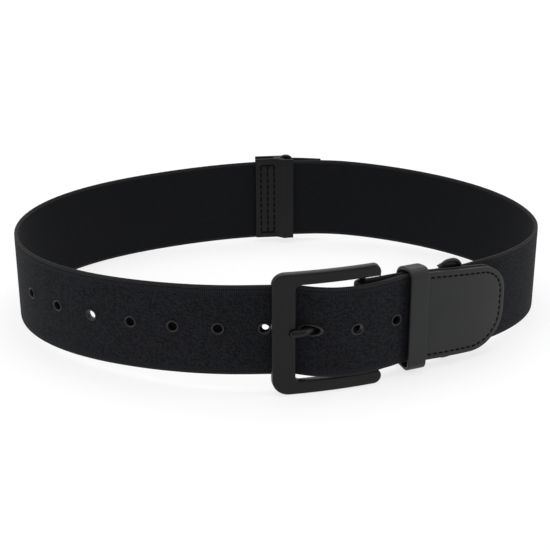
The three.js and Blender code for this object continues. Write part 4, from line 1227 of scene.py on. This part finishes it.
def tip_ply(name, side):
    step = WEBBING_THICKNESS / 2 + TIP_SEAT + TIP_PLY / 2
    near = np.array([0, 0.05, 0.12, 0.22, 0.36, 0.55, 0.8])
    into = np.concatenate([near, np.arange(1.1, TIP_LENGTH, TIP_STEP), [TIP_LENGTH]])
    places = (TIP_END - into)[::-1]
    half = TIP_HEIGHT / 2
    across = np.concatenate([near, np.arange(1.1, half, TIP_STEP)])
    across = np.concatenate([-(half - across), [0], (half - across)[::-1]]) / half
    up, down = tip_edges(places, half)
    centres = main_spots(places)
    out = outwards(unit(np.gradient(centres, axis=0)))
    rows, columns = len(places), len(across)
    height = (up - down)[:, None] / 2 + (up + down)[:, None] / 2 * across[None, :]
    inset = tip_inset(places[:, None], height)
    soft = TIP_SOFT_EDGE
    edge = soft - np.sqrt(np.maximum(soft**2 - np.clip(soft - inset, 0, soft) ** 2, 0))
    groove = STITCH_GROOVE * np.exp(-(((inset - STITCH_INSET) / 0.55) ** 2))
    pad = TIP_PAD * np.clip(inset, 0, 1) * np.clip((STITCH_INSET - inset) / 1.2, 0, 1)
    outer = side * (step + TIP_PLY / 2 - edge - groove + pad)
    inner = side * (step - TIP_PLY / 2 + 0.3 * edge)
    verts = []
    for sheet_depth in (outer, inner):
        flat = centres[:, None, :] + out[:, None, :] * sheet_depth[:, :, None]
        z = main_height(places)[:, None] + height
        verts.append(np.dstack([flat, z]).reshape(-1, 3))
    verts = np.vstack(verts)
    size = rows * columns
    faces = []
    for i in range(rows - 1):
        for j in range(columns - 1):
            a, b = i * columns + j, (i + 1) * columns + j
            faces.append((a, a + 1, b + 1, b))
            faces.append((size + a, size + b, size + b + 1, size + a + 1))
    rim = list(range(columns)) + [(i + 1) * columns - 1 for i in range(1, rows)]
    rim += [(rows - 1) * columns + j for j in range(columns - 2, -1, -1)]
    rim += [i * columns for i in range(rows - 2, 0, -1)]
    for n, a in enumerate(rim):
        b = rim[(n + 1) % len(rim)]
        faces.append((a, b, size + b, size + a))
    obj = make_object(name + "_leather", verts, faces, [LEATHER], angle=math.radians(60))
    dress(obj, "leather", name)


def capsules(pairs, radius, flatten=0.75, steps=3):
    """Short round threads from point to point; each pair has an outward direction."""
    turns = circle(8)
    parts = []
    for start, end, out in pairs:
        start, end, out = (np.asarray(v, float) for v in (start, end, out))
        along = unit(end - start)
        side = np.cross(along, out)
        swells = [math.sin(QUARTER * k / steps) for k in range(steps + 1)]
        rows = [(start + along * radius * (1 - swell), max(radius * swell, 0.02)) for swell in swells]
        rows += [(end - along * radius * (1 - swell), max(radius * swell, 0.02)) for swell in swells[::-1]]
        verts = [centre + r * (c * side + flatten * s * out) for centre, r in rows for c, s in turns]
        parts.append((verts, grid_faces(len(rows), len(turns))))
    return merged(parts)


def tip_stitches(side):
    """Stitch line round the tip, from under the keeper to the end and back."""
    end = TIP_END - STITCH_INSET
    steps = end - 30 * (1 - np.sin(np.linspace(0, QUARTER, 60)))
    places = np.concatenate([np.arange(TIP_START + 2.5, steps[0], 1.5), steps])
    up, down = tip_edges(places, TIP_HEIGHT / 2 - STITCH_INSET, STITCH_INSET)
    line = np.concatenate([np.column_stack([places, up]), np.column_stack([places, -down])[::-1]])
    lengths = walked(line)
    count = int(lengths[-1] / STITCH_PITCH)
    depth = side * (WEBBING_THICKNESS / 2 + TIP_SEAT + TIP_PLY - 0.14)
    pairs = []
    for n in range(count):
        middle = (n + 0.5) * lengths[-1] / count
        ends = middle + np.array([-0.5, 0.5]) * STITCH_LENGTH
        (x0, x1), (z0, z1) = (np.interp(ends, lengths, line[:, k]) for k in (0, 1))
        laid = [(x0 - TIP_END, -depth, z0), (x1 - TIP_END, -depth, z1), (x1 - TIP_END, -depth - side, z1)]
        start, finish, lifted = on_main(laid, TIP_END)
        pairs.append((start, finish, unit(lifted - finish)))
    name = "tip_stitches_front" if side > 0 else "tip_stitches_back"
    dress(make_object(name, *capsules(pairs, STITCH_RADIUS), [THREAD]), "leather")


for name, side in (("tip_front", 1), ("tip_back", -1)):
    tip_ply(name, side)
    tip_stitches(side)


# Slide and ring
def flat_ring(length, height, thickness, band, corner):
    """Ring in the plane y = 0 of a seat, with a softly rounded section."""
    outline = rounded_rectangle(length - band, height - band, corner - band / 2, 12, 1.5)
    section = rounded_rectangle(band, thickness, min(band, thickness) * 0.36, 4)
    verts, faces = ring_sweep(outline, section)
    return verts[:, [1, 0, 2]], faces


def soft_box(low, high, radius):
    """Box with rounded upright edges, in a seat's axes."""
    low, high = np.asarray(low, float), np.asarray(high, float)
    size, middle = high - low, (high + low) / 2
    outline = rounded_rectangle(size[0], size[1], radius, 4)
    soft = radius * 0.5
    verts = []
    for z, shrink in ((low[2], soft), (low[2] + soft, 0), (high[2] - soft, 0), (high[2], soft)):
        factor = 1 - shrink / (size[:2] / 2)
        verts += [(*(middle[:2] + np.array(point) * factor), z) for point in outline]
    return np.array(verts), grid_faces(4, len(outline))


SADDLE_REACH = 4.4
SADDLE_RIB = 1.1
SADDLE_HALF_RIB = 0.62
SADDLE_STEP = 1.4


def slide():
    bar_y = SLIDE_THICKNESS / 2 + GAP + WEBBING_THICKNESS + GAP + SLIDE_BAR_THICKNESS / 2
    top = SLIDE_HEIGHT / 2 - SLIDE_BAND
    bottom = -SLIDE_HEIGHT / 2 + 0.6
    across = SLIDE_BAR_WIDTH / 2
    back = bar_y + SLIDE_BAR_THICKNESS / 2
    strap_top = ADJUST_WIDTH / 2 - SLIDE_RISE + GAP
    strap_bottom = -ADJUST_WIDTH / 2 - SLIDE_RISE - GAP
    parts = [flat_ring(SLIDE_LENGTH, SLIDE_HEIGHT, SLIDE_THICKNESS, SLIDE_BAND, SLIDE_CORNER)]
    parts.append(soft_box((-across, bar_y - SLIDE_BAR_THICKNESS / 2, bottom), (across, back, top - 2.2), 0.5))
    parts.append(soft_box((-across, -0.3, bottom), (across, back - 0.1, strap_bottom), 0.3))
    for x in np.arange(-SADDLE_REACH, SADDLE_REACH + 0.1, SADDLE_RIB):
        high = top - 0.1 - 0.9 * (x / SADDLE_REACH) ** 2
        left, right = x - SADDLE_HALF_RIB, x + SADDLE_HALF_RIB
        parts.append(soft_box((left, -0.1, strap_top), (right, 0.9, high), 0.4))
        parts.append(soft_box((left, 0.6, strap_top), (right, back - 0.1, high - SADDLE_STEP), 0.4))
    verts, faces = merged(parts)
    height = float(adjust_height(SLIDE_PLACE)) + SLIDE_RISE
    seat = Seat(SLIDE_PLACE, SLIDE_OFFSET + SLIDE_THICKNESS / 2, height)
    obj = make_object("slide_body", seat.world(verts), faces, [DARK_METAL], angle=math.radians(50))
    dress(obj, "dark_metal", "slide_adjuster")


def ring():
    top = RING_HEIGHT / 2 - RING_BAND
    low = ADJUST_WIDTH / 2 + ADJUST_BACK_RISE - RING_RISE + 0.1
    parts = [flat_ring(RING_LENGTH, RING_HEIGHT, RING_THICKNESS, RING_BAND, RING_LENGTH / 2 - 0.3)]
    parts.append(soft_box((-2.2, -0.6, low), (2.2, 0.6, top + 0.2), 0.3))
    verts, faces = merged(parts)
    seat = Seat(RING_CENTRE, 0, BACK_HEIGHT + RING_RISE)
    obj = make_object("ring_body", seat.world(verts), faces, [DARK_METAL])
    dress(obj, "dark_metal", "back_ring")


slide()
ring()

# Back tab
TAB_SEAT = Seat(JOIN, 0, BACK_HEIGHT + TAB_RISE)
TAB_ROWS = [8.3, 4.2, 0.2]
TAB_STITCH_PITCH = 4.0
TAB_STITCH_LENGTH = 2.5
TAB_STITCH_TOP = 4.2
TAB_STITCH_BOTTOM = 3.4


def tab_outline():
    """Outline (x, y) of the tab seen from above, and the depths of its inner and outer face."""
    end = TAB_LENGTH / 2
    bar = TAB_SEAT.local(RING_CENTRE + (RING_LENGTH - RING_BAND) / 2, 0)
    bore = RING_THICKNESS / 2 + RING_ROOM
    wrap = bore + TAB_PLY
    pocket_in = WEBBING_THICKNESS / 2 + TAB_POCKET_ROOM
    pocket_out = WEBBING_THICKNESS / 2 + GAP
    flap = RING_FOLD_RADIUS + WEBBING_THICKNESS / 2 + RING_ROOM
    ramp = bar[0] - TAB_FLAP_RAMP / 2
    start = (ramp + TAB_FLAP_RAMP, pocket_in + TAB_PLY)
    points = [(end, pocket_in + TAB_PLY)]
    points += steps_between(points[-1], start, 0.5)
    a, b = (ramp + TAB_FLAP_RAMP / 2, start[1]), (ramp + TAB_FLAP_RAMP / 2, flap + TAB_PLY)
    finish = (ramp, flap + TAB_PLY)
    for i in range(1, 13):
        t = i / 12
        weights = ((1 - t) ** 3, 3 * t * (1 - t) ** 2, 3 * t * t * (1 - t), t**3)
        points.append(tuple(sum(w * p[k] for w, p in zip(weights, (start, a, b, finish))) for k in (0, 1)))
    points += steps_between(points[-1], (-end, flap + TAB_PLY), 0.5)
    points += steps_between(points[-1], (-end, flap), 0.7)
    points += steps_between(points[-1], (ramp, flap), 1.0)
    turn = wrap * math.sqrt(0.5)
    points += steps_between(points[-1], (bar[0] - turn, bar[1] + turn), 1.0)
    points += arc(bar, wrap, 0.75 * math.pi, 1.5 * math.pi, 20)[1:]
    points += steps_between(points[-1], (end, -pocket_out - TAB_PLY), 0.5)
    points += steps_between(points[-1], (end, -pocket_out), 0.7)
    points += steps_between(points[-1], (end - TAB_POCKET, -pocket_out), 1.0)
    points += steps_between(points[-1], (end - TAB_POCKET, pocket_in), 0.9)
    points += steps_between(points[-1], (end, pocket_in), 1.0)
    points += steps_between(points[-1], points[0], 0.7)[:-1]
    return points, pocket_in + TAB_PLY, pocket_out + TAB_PLY


def tab_relief(x, z):
    """How far the tab's face is pressed in by its stitch rows."""
    rows = sum(math.exp(-(((x - row) / 0.6) ** 2)) for row in TAB_ROWS)
    within = 1 / (1 + math.exp(-(TAB_HEIGHT / 2 - TAB_STITCH_TOP + 0.8 - z) * 3))
    within *= 1 / (1 + math.exp(-(z + TAB_HEIGHT / 2 - TAB_STITCH_BOTTOM + 0.8) * 3))
    pressed = 0.34 * min(rows, 1) * within
    if -0.6 < x < 10.2:
        for level in (TAB_HEIGHT / 2 - TAB_STITCH_TOP, -TAB_HEIGHT / 2 + TAB_STITCH_BOTTOM):
            pressed = max(pressed, 0.30 * math.exp(-(((z - level) / 0.6) ** 2)))
    return pressed


def tab():
    outline, inner_face, outer_face = tab_outline()
    half = TAB_HEIGHT / 2
    soft = 0.3
    levels = [-half, -half + 0.1, -half + soft]
    levels += list(np.linspace(-half + soft, half - soft, 66))[1:]
    levels += [half - 0.1, half]
    outline = np.array(outline)
    following = np.roll(outline, -1, axis=0)
    area = np.sum(outline[:, 0] * following[:, 1] - following[:, 0] * outline[:, 1])
    out = outline_normals(outline) * np.sign(area)
    verts = []
    for z in levels:
        edge = half - abs(z)
        shrink = soft - math.sqrt(max(soft**2 - (soft - min(edge, soft)) ** 2, 0))
        for (x, y), (nx, ny) in zip(outline, out):
            move = -shrink
            on_inner = abs(y - inner_face) < 0.01 and ny > 0.9
            on_outer = abs(y + outer_face) < 0.01 and ny < -0.9
            if on_inner or on_outer:
                move -= tab_relief(x, z)
            verts.append((x + nx * move, y + ny * move, z))
    faces = grid_faces(len(levels), len(outline))
    sharp = math.radians(50)
    # The tab takes the darker copy of the leather, which is painted shade.
    obj = make_object("tab_leather", TAB_SEAT.world(verts), faces, [TAB_LEATHER_SHADED], angle=sharp)
    bevel = obj.modifiers.new("soft_edges", "BEVEL")
    bevel.width = 0.22 * MM
    bevel.segments = 2
    bevel.limit_method = "ANGLE"
    bevel.angle_limit = math.radians(55)
    apply_modifiers(obj)
    tidy_mesh(obj, sharp)
    dress(obj, "leather", "back_tab")
    tab_stitches(inner_face, outer_face)


def tab_stitches(inner_face, outer_face):
    """Upright rows of stitches in both faces, joined across at their ends."""
    pairs = []
    half, reach = TAB_HEIGHT / 2, TAB_STITCH_LENGTH / 2
    low, high = -half + TAB_STITCH_BOTTOM, half - TAB_STITCH_TOP
    for side, face in ((1, inner_face), (-1, outer_face)):
        y = side * (face - 0.2)
        count = round((high - low) / TAB_STITCH_PITCH)
        for x in TAB_ROWS:
            for n in range(count):
                z = low + (n + 0.5) * (high - low) / count
                pairs.append(((x, y, z - reach), (x, y, z + reach), side))
        for z in (low, high):
            for n in range(3):
                x = TAB_ROWS[-1] + (n + 0.5) * (TAB_ROWS[0] - TAB_ROWS[-1]) / 3
                pairs.append(((x - reach, y, z), (x + reach, y, z), side))
    world = []
    for start, end, side in pairs:
        tips = TAB_SEAT.world([start, end, (start[0], start[1] + side, start[2])])
        world.append((tips[0], tips[1], tips[2] - tips[0]))
    dress(make_object("tab_stitches", *capsules(world, STITCH_RADIUS * 1.05), [THREAD]), "leather")


tab()


# Floor, light and camera
def area_light(name, position, target, size, power):
    data = bpy.data.lights.new(name, "AREA")
    data.shape = "RECTANGLE"
    data.size, data.size_y = size
    data.energy = power
    light = linked(name, data)
    light.location = position
    direction = Vector(target) - Vector(position)
    light.rotation_euler = direction.to_track_quat("-Z", "Y").to_euler()


def studio():
    n = Nodes("studio_floor")
    point = n.object_point()
    tone = n.noise(point, 3.0, 2.0)
    colour = n.ramp(tone, [(0.3, (0.245, 0.248, 0.245)), (0.7, (0.257, 0.260, 0.257))])
    n.link(colour, n.shader.inputs["Base Color"])
    n.shader.inputs["Roughness"].default_value = 0.9
    n.shader.inputs["Specular IOR Level"].default_value = 0.1
    n.shader.inputs["Emission Color"].default_value = (1, 1, 1, 1)
    n.shader.inputs["Emission Strength"].default_value = 0.73
    reach = 5.0
    corners = [(-reach, -reach, 0), (reach, -reach, 0), (reach, reach, 0), (-reach, reach, 0)]
    floor = linked("studio_floor", plain_mesh("studio_floor", corners, [(0, 1, 2, 3)], [n.material]))

    world = bpy.data.worlds.new("studio")
    world.use_nodes = True
    background = world.node_tree.nodes["Background"]
    background.inputs["Color"].default_value = (1, 1, 1, 1)
    background.inputs["Strength"].default_value = 0.45
    bpy.context.scene.world = world
    area_light("top_softbox", (0.0, 0.15, 1.25), (0, 0, 0), (1.5, 1.1), 12)
    area_light("back_softbox", (0.0, 1.25, 0.62), (0, 0, 0.03), (1.5, 0.42), 3.8)
    area_light("left_softbox", (-1.25, -0.25, 0.55), (-0.1, 0, 0.03), (0.7, 0.9), 5)
    area_light("right_softbox", (1.25, -0.25, 0.55), (0.1, 0, 0.03), (0.7, 0.9), 5)


CAMERA_PLACE = (-1.83, -724.1, 360.7)
CAMERA_TILT = math.radians(25.27)
CAMERA_TURN = -0.0009
CAMERA_ROLL = -0.0025
CAMERA_LENS = 92.86


def camera():
    data = bpy.data.cameras.new("photo_camera")
    data.sensor_width = 36
    data.lens = CAMERA_LENS
    data.clip_start = 0.05
    data.clip_end = 50
    obj = linked("photo_camera", data)
    x, y, z = CAMERA_PLACE
    obj.location = ((x + BELT_SHIFT[0]) * MM, (y + BELT_SHIFT[1]) * MM, z * MM)
    turn = Matrix.Rotation(CAMERA_TURN, 4, "Z") @ Matrix.Rotation(math.pi / 2 - CAMERA_TILT, 4, "X")
    obj.rotation_euler = (turn @ Matrix.Rotation(CAMERA_ROLL, 4, "Z")).to_euler()
    bpy.context.scene.camera = obj


studio()
camera()
bpy.context.scene.view_settings.view_transform = "Standard"
bpy.context.view_layer.update()
